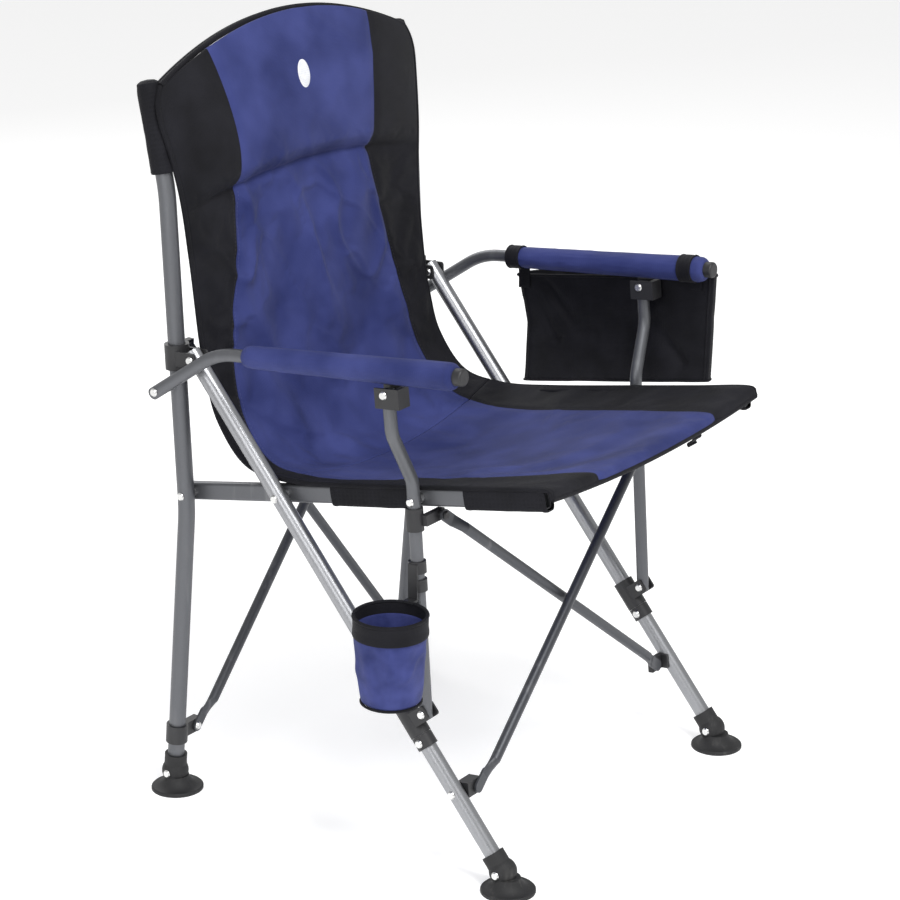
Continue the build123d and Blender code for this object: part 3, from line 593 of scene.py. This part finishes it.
def sling_part(name, low, high, rows):
    """One part of the sling between two shares of its length, as an open sheet."""
    sheet = cloth_grid(name, 100, rows)
    mesh = sheet.data
    mesh.materials.append(finishes["blue_fabric"])
    mesh.materials.append(finishes["black_fabric"])
    for face in mesh.polygons:
        face.material_index = 0 if abs(face.center.x) < SEAM else 1

    def rule(s, t):
        share = low + (t + 1) / 2 * (high - low)
        return sling_point(s, share) + sling_normal(s, share) * sling_relief(s, share)

    lay_out(sheet, rule, 0.54, (high - low) * SLING_LENGTH)
    return sheet


# %% [markdown]
# ## Letting the cloth buckle
# Polyester that is a little longer than the frame it is held in doesn't lie flat: it buckles into soft
# dents. A cloth simulation does this by itself. The points along the edges, the seams and the crease under
# the headrest are held, the springs are a few percent too long, and there is no gravity. Then the largest
# moves are capped, so that no dent reaches a tube.


# %% Cloth simulation
def buckle(sheet, held, slack, frames, cap):
    """Simulate a sheet whose springs are too long. held(i, co) says how firmly a point is held."""
    rest = [v.co.copy() for v in sheet.data.vertices]
    group = sheet.vertex_groups.new(name="held")
    for i, co in enumerate(rest):
        group.add([i], held(i), "REPLACE")
    take(sheet)
    cloth = sheet.modifiers.new("cloth", "CLOTH")
    cloth.settings.vertex_group_mass = "held"
    cloth.settings.quality = 6
    cloth.settings.mass = 0.15
    cloth.settings.tension_stiffness = 25.0
    cloth.settings.compression_stiffness = 25.0
    cloth.settings.shear_stiffness = 8.0
    cloth.settings.bending_stiffness = 1.2
    cloth.settings.tension_damping = 12.0
    cloth.settings.compression_damping = 12.0
    cloth.settings.shrink_min = -slack
    cloth.settings.effector_weights.gravity = 0.0
    cloth.collision_settings.use_collision = False
    cloth.point_cache.frame_start = 1
    cloth.point_cache.frame_end = frames
    for step in range(1, frames + 1):
        bpy.context.scene.frame_set(step)
    take(sheet)
    bpy.ops.object.modifier_apply(modifier=cloth.name)
    bpy.context.scene.frame_set(1)
    furthest = 0.0
    for vertex, start in zip(sheet.data.vertices, rest):
        move = vertex.co - start
        furthest = max(furthest, move.length)
        if move.length > cap:
            vertex.co = start + move * (cap / move.length)
    sheet.vertex_groups.clear()
    print(sheet.name, "moved up to", round(furthest * 1000, 1), "mm, cap", cap * 1000)


def give_thickness(sheet, thickness):
    """Turn an open sheet into padded cloth: a wall behind it, rounded edges, one subdivision."""
    apply_modifier(sheet, "SOLIDIFY", thickness=thickness, offset=-1.0, use_even_offset=True)
    apply_modifier(sheet, "SUBSURF", levels=1, render_levels=1)
    face_out(sheet)


# %% Seat
RAIL_X = 0.250
POST_X = 0.272
seat_rows, back_rows = 90, 150
seat = sling_part("seat_sling", 0.0, CUT, seat_rows)


def seat_hold(i):
    """The seat is held at its edges and hem, and nearly held at the bands' seams."""
    s, t = -1 + 2 * (i % 101) / 100, -1 + 2 * (i // 101) / seat_rows
    if abs(s) > 0.97 or abs(t) > 0.96:
        return 1.0
    return 0.55 if abs(abs(s) - SEAM) < 0.03 else 0.0


buckle(seat, seat_hold, 0.005, 20, 0.006)
give_thickness(seat, 0.006)
settle(seat)
print("seat faces", len(seat.data.polygons))

# %% Back
back = sling_part("back_sling", CUT, 1.0, back_rows)


def back_hold(i):
    """The back is held at its edges, its seams and the crease under the headrest."""
    s, t = -1 + 2 * (i % 101) / 100, -1 + 2 * (i // 101) / back_rows
    share = CUT + (t + 1) / 2 * (1 - CUT)
    if abs(s) > 0.97 or abs(t) > 0.97 or share > HEADREST + 0.02:
        return 1.0
    if abs(share - HEADREST) < 0.012:
        return 0.9
    return 0.5 if abs(abs(s) - SEAM) < 0.03 else 0.0


buckle(back, back_hold, 0.014, 24, 0.008)
give_thickness(back, 0.007)
settle(back)
print("back faces", len(back.data.polygons))


# %% [markdown]
# ## How the sling rides on the frame
# As the sides come together, the cloth can't follow the tubes: it gathers between them. Here each part
# only rides on the body of the right side's tube, the seat on the rail and the back on the post, and gets a
# mesh of its own.


# %% Attaching the sling
def gather(piece, body, tube_x):
    """The piece rides on the right side's body and gets a mesh of its own. tube_x is not used."""
    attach(piece, body)
    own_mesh(piece)


# %% Piping of the sling
CORD_BEHIND = 0.003
REAR_CORD_BEHIND = 0.0075


def sling_edge(side, low, high, out, count=90):
    """Points along a side edge of the sling."""
    points = []
    for k in range(count + 1):
        share = low + (high - low) * k / count
        outward = Vector((side * out, 0, 0))
        points.append(sling_point(side, share) + outward - sling_normal(side, share) * CORD_BEHIND)
    return points


seat_trim, back_trim = [], []
for side, title in ((-1, "right"), (1, "left")):
    seat_trim.append(piping(f"{title}_seat_piping", sling_edge(side, 0.0, CUT, 0.001), 0.0028))
    back_trim.append(piping(f"{title}_back_piping", sling_edge(side, CUT, 1.0, 0.001, 140), 0.0034))
hem_places = [-1 + 2 * k / 60 for k in range(61)]
hem = [sling_point(s, 0.0) - sling_normal(s, 0.0) * CORD_BEHIND for s in hem_places]
seat_trim.append(piping("front_hem_piping", hem, 0.0034))
crown_places = [-1 + 2 * k / 80 for k in range(81)]
crown = [sling_point(s, 1.0) - sling_normal(s, 0.999) * CORD_BEHIND for s in crown_places]
back_trim.append(piping("crown_piping", crown, 0.0042))
rear_crown = [p + sling_normal(s, 0.999) * -REAR_CORD_BEHIND for s, p in zip(crown_places, crown)]
back_trim.append(piping("rear_crown_piping", rear_crown, 0.0030))
print("piping", len(seat_trim) + len(back_trim))

for piece in [seat, *seat_trim]:
    gather(piece, "right_rail", RAIL_X)
for piece in [back, *back_trim]:
    gather(piece, "right_post", POST_X)
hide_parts("seat_panel")
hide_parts("back_panel")

# %% [markdown]
# ## Sewn tubes
# The arm pads, the sleeves over the posts and rails, the cup pouch and the webbing loops are all cloth
# sewn into a tube. One helper rolls a flat grid round an axis: a profile gives the radius along it, a
# section rule turns the circle into a rounded box where the tube inside is one, and a ripple puckers it.


# %% Sewn tube helper
def round_section(angle):
    """A circle of radius 1."""
    return math.cos(angle), math.sin(angle)


def sewn_tube(name, start, end, profile, finish, ripple=0.0, seed=0, around=48, rows=60,
              section=round_section):
    """Cloth rolled round the line from start to end. The profile holds (share, radius) pairs."""
    start, end = Vector(start), Vector(end)
    way = (end - start).normalized()
    right = way.cross(Vector((0, 0, 1)))
    right = right.normalized() if right.length > 0.01 else Vector((1, 0, 0))
    up = right.cross(way)
    shares, radii = zip(*profile)
    sheet = cloth_grid(name, around, rows)

    def rule(s, t):
        share = float(np.interp((t + 1) / 2, np.linspace(0, 1, len(shares)), shares))
        radius = float(np.interp((t + 1) / 2, np.linspace(0, 1, len(radii)), radii))
        a, b = section(math.pi * s)
        place = start + (end - start) * share + (right * a + up * b) * radius
        inward = 1.0 if 0.04 < share < 0.96 else 0.3
        pucker = wrinkle((a * 1.2, b * 1.2, share * 3 + seed), 2.2, seed) * ripple * inward
        return place + (right * a + up * b).normalized() * pucker

    width = 2 * math.pi * max(radii)
    lay_out(sheet, rule, width, (end - start).length)
    face_out(sheet)
    sheet.data.materials.append(finishes[finish])
    return sheet


def finish_sewn(piece, thickness=0.0):
    """Smooth a sewn piece, after giving it a wall if it is open."""
    if thickness:
        apply_modifier(piece, "SOLIDIFY", thickness=thickness, offset=1.0)
    apply_modifier(piece, "SUBSURF", levels=1, render_levels=1)
    settle(piece)
    return piece


def rounded_ends(first, low, high, last, steps=5):
    """A profile that rolls in at both ends: first and last are the radii at the tube."""
    pairs = []
    for k in range(steps + 1):
        turn = math.pi / 2 * k / steps
        pairs.append((0.03 * (1 - math.cos(turn)), first + (low - first) * math.sin(turn)))
    for k in range(1, 12):
        share = 0.03 + 0.94 * k / 12
        pairs.append((share, low + (high - low) * (share - 0.03) / 0.94))
    for k in range(steps + 1):
        turn = math.pi / 2 * k / steps
        pairs.append((1 - 0.03 * (1 - math.sin(turn)), last + (high - last) * math.cos(turn)))
    return pairs


# %% [markdown]
# ## Arm pads
# Each arm tube wears a foam sleeve in blue cloth, thicker toward the front. The cloth is gathered where it
# is tied off at both ends, and a seam runs along its underside.

# %% Arm pads
ARM_SLOPE = math.radians(5.1)
PAD_BACK_RADIUS = 0.0145
PAD_FRONT_RADIUS = 0.0175
TUBE_GRIP = 0.0095


def pad_axis(title):
    """The two ends of a pad's middle line, read from its CAD solid."""
    low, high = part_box(f"{title}_arm_pad")
    x = (low.x + high.x) / 2
    slope_sin, slope_cos = math.sin(ARM_SLOPE), math.cos(ARM_SLOPE)
    back_end = Vector((x, high.y - PAD_BACK_RADIUS * slope_sin, low.z + PAD_BACK_RADIUS * slope_cos))
    front_end = Vector((x, low.y + PAD_FRONT_RADIUS * slope_sin, high.z - PAD_FRONT_RADIUS * slope_cos))
    return back_end, front_end


SEAM_STEPS = 40
for title in ("right", "left"):
    back_end, front_end = pad_axis(title)
    profile = rounded_ends(TUBE_GRIP, PAD_BACK_RADIUS, PAD_FRONT_RADIUS, 0.0105)
    pad = sewn_tube(f"{title}_padded_arm", back_end, front_end, profile, "blue_fabric", 0.0007, 3, 56, 110)
    finish_sewn(pad)
    seam = []
    for k in range(SEAM_STEPS + 1):
        drop = PAD_BACK_RADIUS + (PAD_FRONT_RADIUS - PAD_BACK_RADIUS) * k / SEAM_STEPS + 0.0002
        seam.append(back_end.lerp(front_end, 0.03 + 0.94 * k / SEAM_STEPS) - Vector((0, 0, drop)))
    ridge = piping(f"{title}_arm_seam", seam, 0.0013)
    ridge.data.materials[0] = finishes["blue_fabric"]
    for piece in (pad, ridge):
        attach(piece, f"{title}_arm")
    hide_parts(f"{title}_arm_pad")
print("arm pads from", [round(c, 3) for c in back_end], "to", [round(c, 3) for c in front_end])

# %% [markdown]
# ## Sleeves over the posts and the rails
# The back hangs on two sleeves pulled over the posts' tops, and the seat on sleeves that the rails run
# through. Between the seat's two sleeves the rail is bare, so that the legs and struts can turn on it.

# %% Post sleeves
POST_SLEEVE = 0.0152
SLEEVE_WALL = 0.0008
POST_LEAN = math.radians(11.0)
for title, side in (("right", -1), ("left", 1)):
    low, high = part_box(f"{title}_back_pocket")
    x = (low.x + high.x) / 2
    radius = (high.x - low.x) / 2
    foot_end = Vector((x, low.y + radius, low.z + radius * math.sin(POST_LEAN)))
    top_end = Vector((x, high.y - radius, high.z - radius * math.sin(POST_LEAN)))
    profile = [(0.0, 0.0128), (0.0, POST_SLEEVE), (0.02, 0.0158), (0.05, 0.0152), (0.5, 0.0150),
               (0.9, 0.0150), (0.985, 0.0138), (1.01, 0.009), (1.02, 0.0)]
    sleeve = sewn_tube(f"{title}_post_sleeve", foot_end, top_end, profile, "black_fabric",
                       0.0008, 5 + side, 40, 64)
    finish_sewn(sleeve, SLEEVE_WALL)
    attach(sleeve, f"{title}_post")
    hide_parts(f"{title}_back_pocket")
print("post sleeves", round((top_end - foot_end).length, 3), "m long")

# %% Rail sleeves
SEAT_PIVOT = Vector((0, 0.2525, 0.437))
RAIL_SLOPE = math.radians(10.0)
ALONG_RAIL = Vector((0, -math.cos(RAIL_SLOPE), math.sin(RAIL_SLOPE)))
RAIL_SLEEVES = ((0.2365, 0.3615), (0.4465, 0.5675))


def rail_section(angle):
    """A rounded box, 19 wide and 29 high, over a radius of 14.5."""
    c, s = math.cos(angle), math.sin(angle)
    power = 0.42
    return math.copysign(abs(c) ** power, c) * 9.4 / 14.5, math.copysign(abs(s) ** power, s)


for title, side in (("right", -1), ("left", 1)):
    base = SEAT_PIVOT + Vector((side * RAIL_X, 0, 0))
    for number, (first, last) in enumerate(RAIL_SLEEVES):
        profile = [(0.0, 0.0128), (0.0, 0.0146), (0.03, 0.0149), (0.06, 0.0145), (0.5, 0.0145),
                   (0.94, 0.0145), (0.97, 0.0149), (1.0, 0.0146), (1.0, 0.0128)]
        start, end = base + ALONG_RAIL * first, base + ALONG_RAIL * last
        sleeve = sewn_tube(f"{title}_rail_sleeve_{number + 1}", start, end, profile, "black_fabric",
                           0.0006, 11 + number, 48, 40, rail_section)
        finish_sewn(sleeve, SLEEVE_WALL)
        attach(sleeve, f"{title}_rail")
    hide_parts(f"{title}_seat_pockets")
print("rail sleeves", len(RAIL_SLEEVES) * 2)

# %% [markdown]
# ## Cup holder
# A blue pouch with a wide black band round its mouth hangs from a clip on the right strut. A cup keeps the
# mouth round, while the pouch below tapers and falls into a few soft folds under the band.

# %% Cup pouch
cup_low, cup_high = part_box("cup_holder")
rim_low, rim_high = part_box("cup_holder_rim")
cup_centre = Vector(((cup_low.x + cup_high.x) / 2, (cup_low.y + cup_high.y) / 2, 0))
cup_floor, band_low, cup_top = cup_low.z, rim_low.z, rim_high.z
MOUTH = (rim_high.x - rim_low.x) / 2
FLOOR_RADIUS = 0.0385


def pouch(name, profile, finish, folds, around=72, rows=72):
    """A lathe-like cloth shape round the cup's axis. The profile holds (radius, height) pairs."""
    radii, heights = zip(*profile)
    run_share = [0.0]
    for a, b in zip(profile, profile[1:]):
        run_share.append(run_share[-1] + math.dist(a, b))
    sheet = cloth_grid(name, around, rows)

    def rule(s, t):
        at = (t + 1) / 2 * run_share[-1]
        radius, height = float(np.interp(at, run_share, radii)), float(np.interp(at, run_share, heights))
        angle = math.pi * s
        drape = swell(height, cup_floor - 0.002, band_low + 0.006)
        fold = math.sin(angle * 5 + 1.3) * 0.35 + math.sin(angle * 9 + height * 40) * 0.25
        fold += wrinkle((math.cos(angle), math.sin(angle), height * 12), 1.3, 4) * 0.8
        radius += fold * folds * drape * min(1.0, radius / 0.03)
        return cup_centre + Vector((radius * math.cos(angle), radius * math.sin(angle), height))

    lay_out(sheet, rule, 2 * math.pi * MOUTH, run_share[-1])
    face_out(sheet)
    sheet.data.materials.append(finishes[finish])
    return finish_sewn(sheet)


outer = MOUTH - 0.0012
cup_profile = [
    (0.0, cup_floor + 0.001), (FLOOR_RADIUS - 0.006, cup_floor), (FLOOR_RADIUS, cup_floor + 0.004),
    (0.0432, cup_floor + 0.05), (outer, band_low + 0.004), (outer, band_low + 0.012),
    (outer - 0.002, band_low + 0.012), (0.0410, cup_floor + 0.05),
    (FLOOR_RADIUS - 0.003, cup_floor + 0.006), (0.0, cup_floor + 0.003),
]
cup_pouch = pouch("cup_pouch", cup_profile, "cup_blue", 0.0034)
band_profile = [
    (outer + 0.0002, band_low + 0.001), (MOUTH + 0.0006, band_low), (MOUTH + 0.0008, band_low + 0.004),
    (MOUTH, band_low + 0.012), (MOUTH + 0.0004, cup_top - 0.002), (MOUTH - 0.0012, cup_top),
    (MOUTH - 0.003, cup_top - 0.002), (MOUTH - 0.003, band_low + 0.003),
    (outer + 0.0002, band_low + 0.001),
]
cup_band = pouch("cup_band", band_profile, "black_fabric", 0.0, 72, 48)


def ring(radius, height, count=72):
    """Points round the cup's axis."""
    turns = [2 * math.pi * k / count for k in range(count)]
    return [cup_centre + Vector((radius * math.cos(t), radius * math.sin(t), height)) for t in turns]


rim_cord = piping("cup_rim_piping", ring(MOUTH - 0.0012, cup_top), 0.0024, closed=True)
floor_cord = piping("cup_floor_piping", ring(FLOOR_RADIUS, cup_floor + 0.0022), 0.0018, closed=True)
for piece in (cup_pouch, cup_band, rim_cord, floor_cord):
    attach(piece, "right_strut")
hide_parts("cup_holder")
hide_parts("cup_holder_rim")
print("cup holder faces", len(cup_pouch.data.polygons) + len(cup_band.data.polygons))

# %% [markdown]
# ## Side bag
# A soft black pouch hangs from the left arm on two webbing loops. It is cut like a flat envelope with a
# gusset: long flat sides, narrow ends that pull in, an open mouth that follows the arm, and piping on its
# edges. Empty, it falls into long slanting creases.

# %% Bag shell
bag_low, bag_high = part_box("side_bag")
BAG_MIDDLE_X = (bag_low.x + bag_high.x) / 2
BAG_HALF_X = (bag_high.x - bag_low.x) / 2 - 0.001
BACK_EDGE = [(0.0, 0.106), (0.55, 0.103), (0.75, 0.109), (1.0, 0.119)]
FRONT_EDGE = [(0.0, -0.201), (0.5, -0.2035), (1.0, -0.206)]
FLOOR_LINE = ((-0.205, 0.522), (0.107, 0.470))
MOUTH_LINE = ((-0.213, 0.674), (0.120, 0.627))
# Long slanting creases: start (y, z), end (y, z), how deep.
CREASES = [((0.074, 0.625), (-0.022, 0.525), 0.0075), ((0.088, 0.60), (0.050, 0.54), 0.0060),
           ((-0.105, 0.60), (-0.160, 0.54), 0.0055), ((-0.02, 0.64), (-0.13, 0.56), 0.0030)]


def read_line(line, y):
    """Height of a straight line at y."""
    (y0, z0), (y1, z1) = line
    return z0 + (z1 - z0) * (y - y0) / (y1 - y0)


def crease_depth(y, z):
    """How deep the slanting creases are at a point of the bag's side."""
    total = 0.0
    for start, end, depth in CREASES:
        a, b, p = Vector(start), Vector(end), Vector((y, z))
        share = max(0.0, min(1.0, (p - a).dot(b - a) / (b - a).length_squared))
        total += depth * math.exp(-((p - a - (b - a) * share).length / 0.008) ** 2)
    return total


def bag_wall(angle, share):
    """A point of the bag: angle round it, share 0 at the floor's edge to 1 at the mouth."""
    c, s = math.cos(angle), math.sin(angle)
    boxy_x = math.copysign(abs(c) ** 0.4, c)
    boxy_y = math.copysign(abs(s) ** 0.3, s)
    back_y, front_y = [float(np.interp(share, *zip(*e))) for e in (BACK_EDGE, FRONT_EDGE)]
    y = (back_y + front_y) / 2 + (back_y - front_y) / 2 * boxy_y
    z = read_line(FLOOR_LINE, y) + (read_line(MOUTH_LINE, y) - read_line(FLOOR_LINE, y)) * share
    depth = 2 * BAG_HALF_X * (0.24 + 0.76 * max(0.0, 1 - boxy_y ** 2) ** 0.6)
    x = BAG_MIDDLE_X - BAG_HALF_X + depth * (boxy_x + 1) / 2
    flat_side = abs(boxy_x) ** 6 * (1 - boxy_y ** 6) * min(1.0, (1 - share) * 8 + 0.15)
    dent = crease_depth(y, z) + wrinkle((y + z * 0.6, z * 0.6, math.copysign(1.0, c)), 15.0, 8) * 0.0024
    x -= math.copysign(dent * flat_side, c)
    pull = wrinkle((x * 0.5, y * 0.4, z), 16.0, 9) * 0.0012 * (1 - share ** 4)
    return Vector((x, y + pull * abs(boxy_y) ** 6, z))


bag = cloth_grid("side_pouch", 150, 70)
FLOOR_ROWS = 0.25


def bag_rule(s, t):
    """The bag's grid: first its floor, from the middle out, and then its walls."""
    share = (t + 1) / 2
    if share >= FLOOR_ROWS:
        return bag_wall(math.pi * s, (share - FLOOR_ROWS) / (1 - FLOOR_ROWS))
    edge = bag_wall(math.pi * s, 0.0)
    inner = bag_wall(math.pi, 0.0).x
    depth_here = 2 * BAG_HALF_X * (0.24 + 0.76 * max(0.0, 1 - ((edge.y + 0.0475) / 0.1545) ** 2) ** 0.6)
    middle = Vector((inner + depth_here / 2, edge.y, edge.z))
    return middle.lerp(edge, share / FLOOR_ROWS)


lay_out(bag, bag_rule, 0.75, 0.19)
face_out(bag)
bag.data.materials.append(finishes["black_fabric"])
apply_modifier(bag, "SOLIDIFY", thickness=0.0018, offset=-1.0)
apply_modifier(bag, "SUBSURF", levels=1, render_levels=1)
settle(bag)

# %% Bag trim
mouth = [bag_wall(2 * math.pi * k / 120, 1.0) for k in range(120)]
base = [bag_wall(2 * math.pi * k / 120, 0.0) for k in range(120)]
bag_trim = [
    piping("bag_mouth_piping", mouth, 0.0022, closed=True),
    piping("bag_floor_piping", base, 0.0018, closed=True),
]
# Share of a half turn at which each corner of the bag lies.
CORNERS = (("back_inner", 0.66), ("front_inner", -0.66), ("back_outer", 0.34), ("front_outer", -0.34))
for name, angle in CORNERS:
    corner = [bag_wall(math.pi * angle, k / 30) for k in range(31)]
    bag_trim.append(piping(f"bag_{name}_piping", corner, 0.0016))
for piece in (bag, *bag_trim):
    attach(piece, "left_arm")
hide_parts("side_bag")
print("bag faces", len(bag.data.polygons))

# %% [markdown]
# ## Webbing loops
# Two black webbing loops go round the left arm pad, and each is sewn to the top of the bag's inner side.
# Webbing is flat, so it is a short sleeve with a ribbed edge rather than a cord.

# %% Webbing loops
back_end, front_end = pad_axis("left")
arm_way = (front_end - back_end).normalized()
HALF_WEBBING = 0.011
LOOP_PLACES = (0.104, -0.180)
loops = []
for number, place_y in enumerate(LOOP_PLACES):
    run_to = (back_end.y - place_y) / -arm_way.y
    share = run_to / (front_end - back_end).length
    radius = PAD_BACK_RADIUS + (PAD_FRONT_RADIUS - PAD_BACK_RADIUS) * share
    middle = back_end + arm_way * run_to
    ribbed = [(0.0, 0.0004), (0.0, 0.0022), (0.06, 0.0026), (0.12, 0.0020), (0.5, 0.0021),
              (0.88, 0.0020), (0.94, 0.0026), (1.0, 0.0022), (1.0, 0.0004)]
    profile = [(along, radius + rise) for along, rise in ribbed]
    start, end = middle - arm_way * HALF_WEBBING, middle + arm_way * HALF_WEBBING
    loop = sewn_tube(f"webbing_loop_{number + 1}", start, end, profile, "black_fabric",
                     0.0002, 20 + number, 48, 24)
    finish_sewn(loop)
    loops.append(loop)
    tail = cloth_grid(f"webbing_tail_{number + 1}", 10, 12)
    top = middle + Vector((radius * 0.8, 0, 0.004))
    foot = Vector((bag_low.x + 0.0015, middle.y, read_line(MOUTH_LINE, middle.y) - 0.018))

    def tail_rule(s, t, top=top, foot=foot):
        """A flat strap that leaves the loop sideways and turns down onto the bag."""
        share = (1 - t) / 2
        x = top.x + (foot.x - 0.002 - top.x) * math.sin(min(1.0, share * 1.6) * math.pi / 2)
        return Vector((x, top.y, top.z + (foot.z - top.z) * share)) + arm_way * (s * 0.0095)

    lay_out(tail, tail_rule, 0.019, 0.04)
    tail.data.materials.append(finishes["black_fabric"])
    apply_modifier(tail, "SOLIDIFY", thickness=0.0016, offset=0.0)
    apply_modifier(tail, "BEVEL", width=0.0005, segments=2)
    settle(tail)
    loops.append(tail)
for piece in loops:
    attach(piece, "left_arm")
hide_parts("bag_straps")
print("webbing pieces", len(loops))

# %% [markdown]
# ## Stitching and the plain patch
# Every seam carries two rows of stitches. A stitch is a tiny raised bar, so one low box of a few faces is
# repeated along the seam, each laid on the cloth under it. A small oval patch of satin stitch marks the
# headrest's middle, with no lettering.


# %% Stitches
# One stitch: its points as shares of its length and half width, and whether they are raised.
STITCH_POINTS = ((-1, 0, 0), (-0.6, 1, 0), (0.6, 1, 0), (1, 0, 0), (0.6, -1, 0), (-0.6, -1, 0),
                 (-0.5, 0, 1), (0.5, 0, 1))
STITCH_FACES = ((0, 6, 1), (1, 6, 7, 2), (2, 7, 3), (3, 7, 4), (4, 7, 6, 5), (5, 6, 0), (0, 1, 2, 3, 4, 5))


def stitch_row(name, cloth, points, colour, length=0.0032, width=0.0008, every=0.0052):
    """Small raised bars along a line of points, each lying on the cloth."""
    mesh = bpy.data.meshes.new(name)
    build = bmesh.new()
    walked, next_at = 0.0, every
    for a, b in zip(points, points[1:]):
        while walked + (b - a).length >= next_at:
            spot = a.lerp(b, (next_at - walked) / (b - a).length)
            _, place, normal, _ = cloth.closest_point_on_mesh(spot)
            way = (b - a).normalized()
            across = normal.cross(way).normalized()
            corners = []
            for along, side, rise in STITCH_POINTS:
                flat = way * (along * length / 2) + across * (side * width / 2)
                corners.append(build.verts.new(place + flat + normal * (rise * 0.0005 - 0.0001)))
            for face in STITCH_FACES:
                build.faces.new([corners[k] for k in face])
            next_at += every
        walked += (b - a).length
    bmesh.ops.recalc_face_normals(build, faces=build.faces)
    build.to_mesh(mesh)
    build.free()
    row = bpy.data.objects.new(name, mesh)
    bpy.context.scene.collection.objects.link(row)
    row.data.materials.append(colour)
    return row


# The second colour of each thread is the painted reflection colour of its streaks.
thread_blue = paint_finish("blue_thread", (0.05, 0.06, 0.19), (0.09, 0.10, 0.26), 0.0, 0.5, 0.4, 2500.0)
thread_black = paint_finish("black_thread", (0.02, 0.02, 0.024), (0.05, 0.05, 0.055), 0.0, 0.5, 0.4, 2500.0)
rows_made = 0
SEWN_PARTS = ((seat, 0.02, CUT - 0.004, "right_rail", RAIL_X), (back, CUT + 0.004, 0.99, "right_post", POST_X))
for cloth, low, high, body, tube_x in SEWN_PARTS:
    for side, title in ((-1, "right"), (1, "left")):
        for offset, colour, kind in ((-0.014, thread_blue, "blue"), (0.014, thread_black, "black")):
            shares = [low + (high - low) * k / 120 for k in range(121)]
            line = [sling_point(side * (SEAM + offset), share) for share in shares]
            row = stitch_row(f"{cloth.name}_{title}_{kind}_stitches", cloth, line, colour)
            gather(row, body, tube_x)
            rows_made += 1
crease_line = [sling_point(SEAM * (-0.96 + 1.92 * k / 100), HEADREST) for k in range(101)]
row = stitch_row("headrest_stitches", back, crease_line, thread_blue)
gather(row, "right_post", POST_X)
print("stitch rows", rows_made + 1)

# %% Headrest patch
PATCH_SHARE = 0.925
patch = cloth_grid("headrest_patch", 28, 28)


def patch_rule(s, t):
    """A low oval dome laid on the headrest."""
    ring_out = max(abs(s), abs(t))
    length = math.hypot(s, t) or 1.0
    a, b = s / length * ring_out, t / length * ring_out
    spot = sling_point(a * 0.014 / 0.176 * SEAM, PATCH_SHARE + b * 0.020 / SLING_LENGTH)
    _, place, normal, _ = back.closest_point_on_mesh(spot + Vector((0, -0.03, 0)))
    return place + normal * (0.0012 * math.sqrt(max(0.0, 1.0 - ring_out ** 4)) - 0.0002)


lay_out(patch, patch_rule, 0.024, 0.034)
# The satin's lighter colour is painted light on its crease ridges, and the darker one is painted shade in the
# hollows.
white_satin = cloth_finish(
    "white_satin_stitch", (0.62, 0.63, 0.66), (0.80, 0.81, 0.84), 700.0, 0.2, 60.0, 0.2
)
patch.data.materials.append(white_satin)
apply_modifier(patch, "SUBSURF", levels=1, render_levels=1)
settle(patch)
gather(patch, "right_post", POST_X)
print("patch", len(patch.data.polygons))

# %% [markdown]
# ## Closing tab
# A short webbing tab under the front hem ties the folded chair together. It is a strip of webbing, so it is
# a small flat grid bent by a rule and given a wall.

# %% Closing tab
tab = cloth_grid("closing_tab", 12, 24)
tab_spot = sling_point(0.45, 0.012)


def tab_rule(s, t):
    """A folded strap end that hangs under the hem."""
    share = (t + 1) / 2
    return tab_spot + Vector((s * 0.011, 0.004 + 0.004 * math.sin(share * 9.0), -0.008 - 0.024 * share))


lay_out(tab, tab_rule, 0.022, 0.03)
tab.data.materials.append(finishes["black_fabric"])
apply_modifier(tab, "SOLIDIFY", thickness=0.002, offset=0.0)
settle(tab)
gather(tab, "right_rail", RAIL_X)
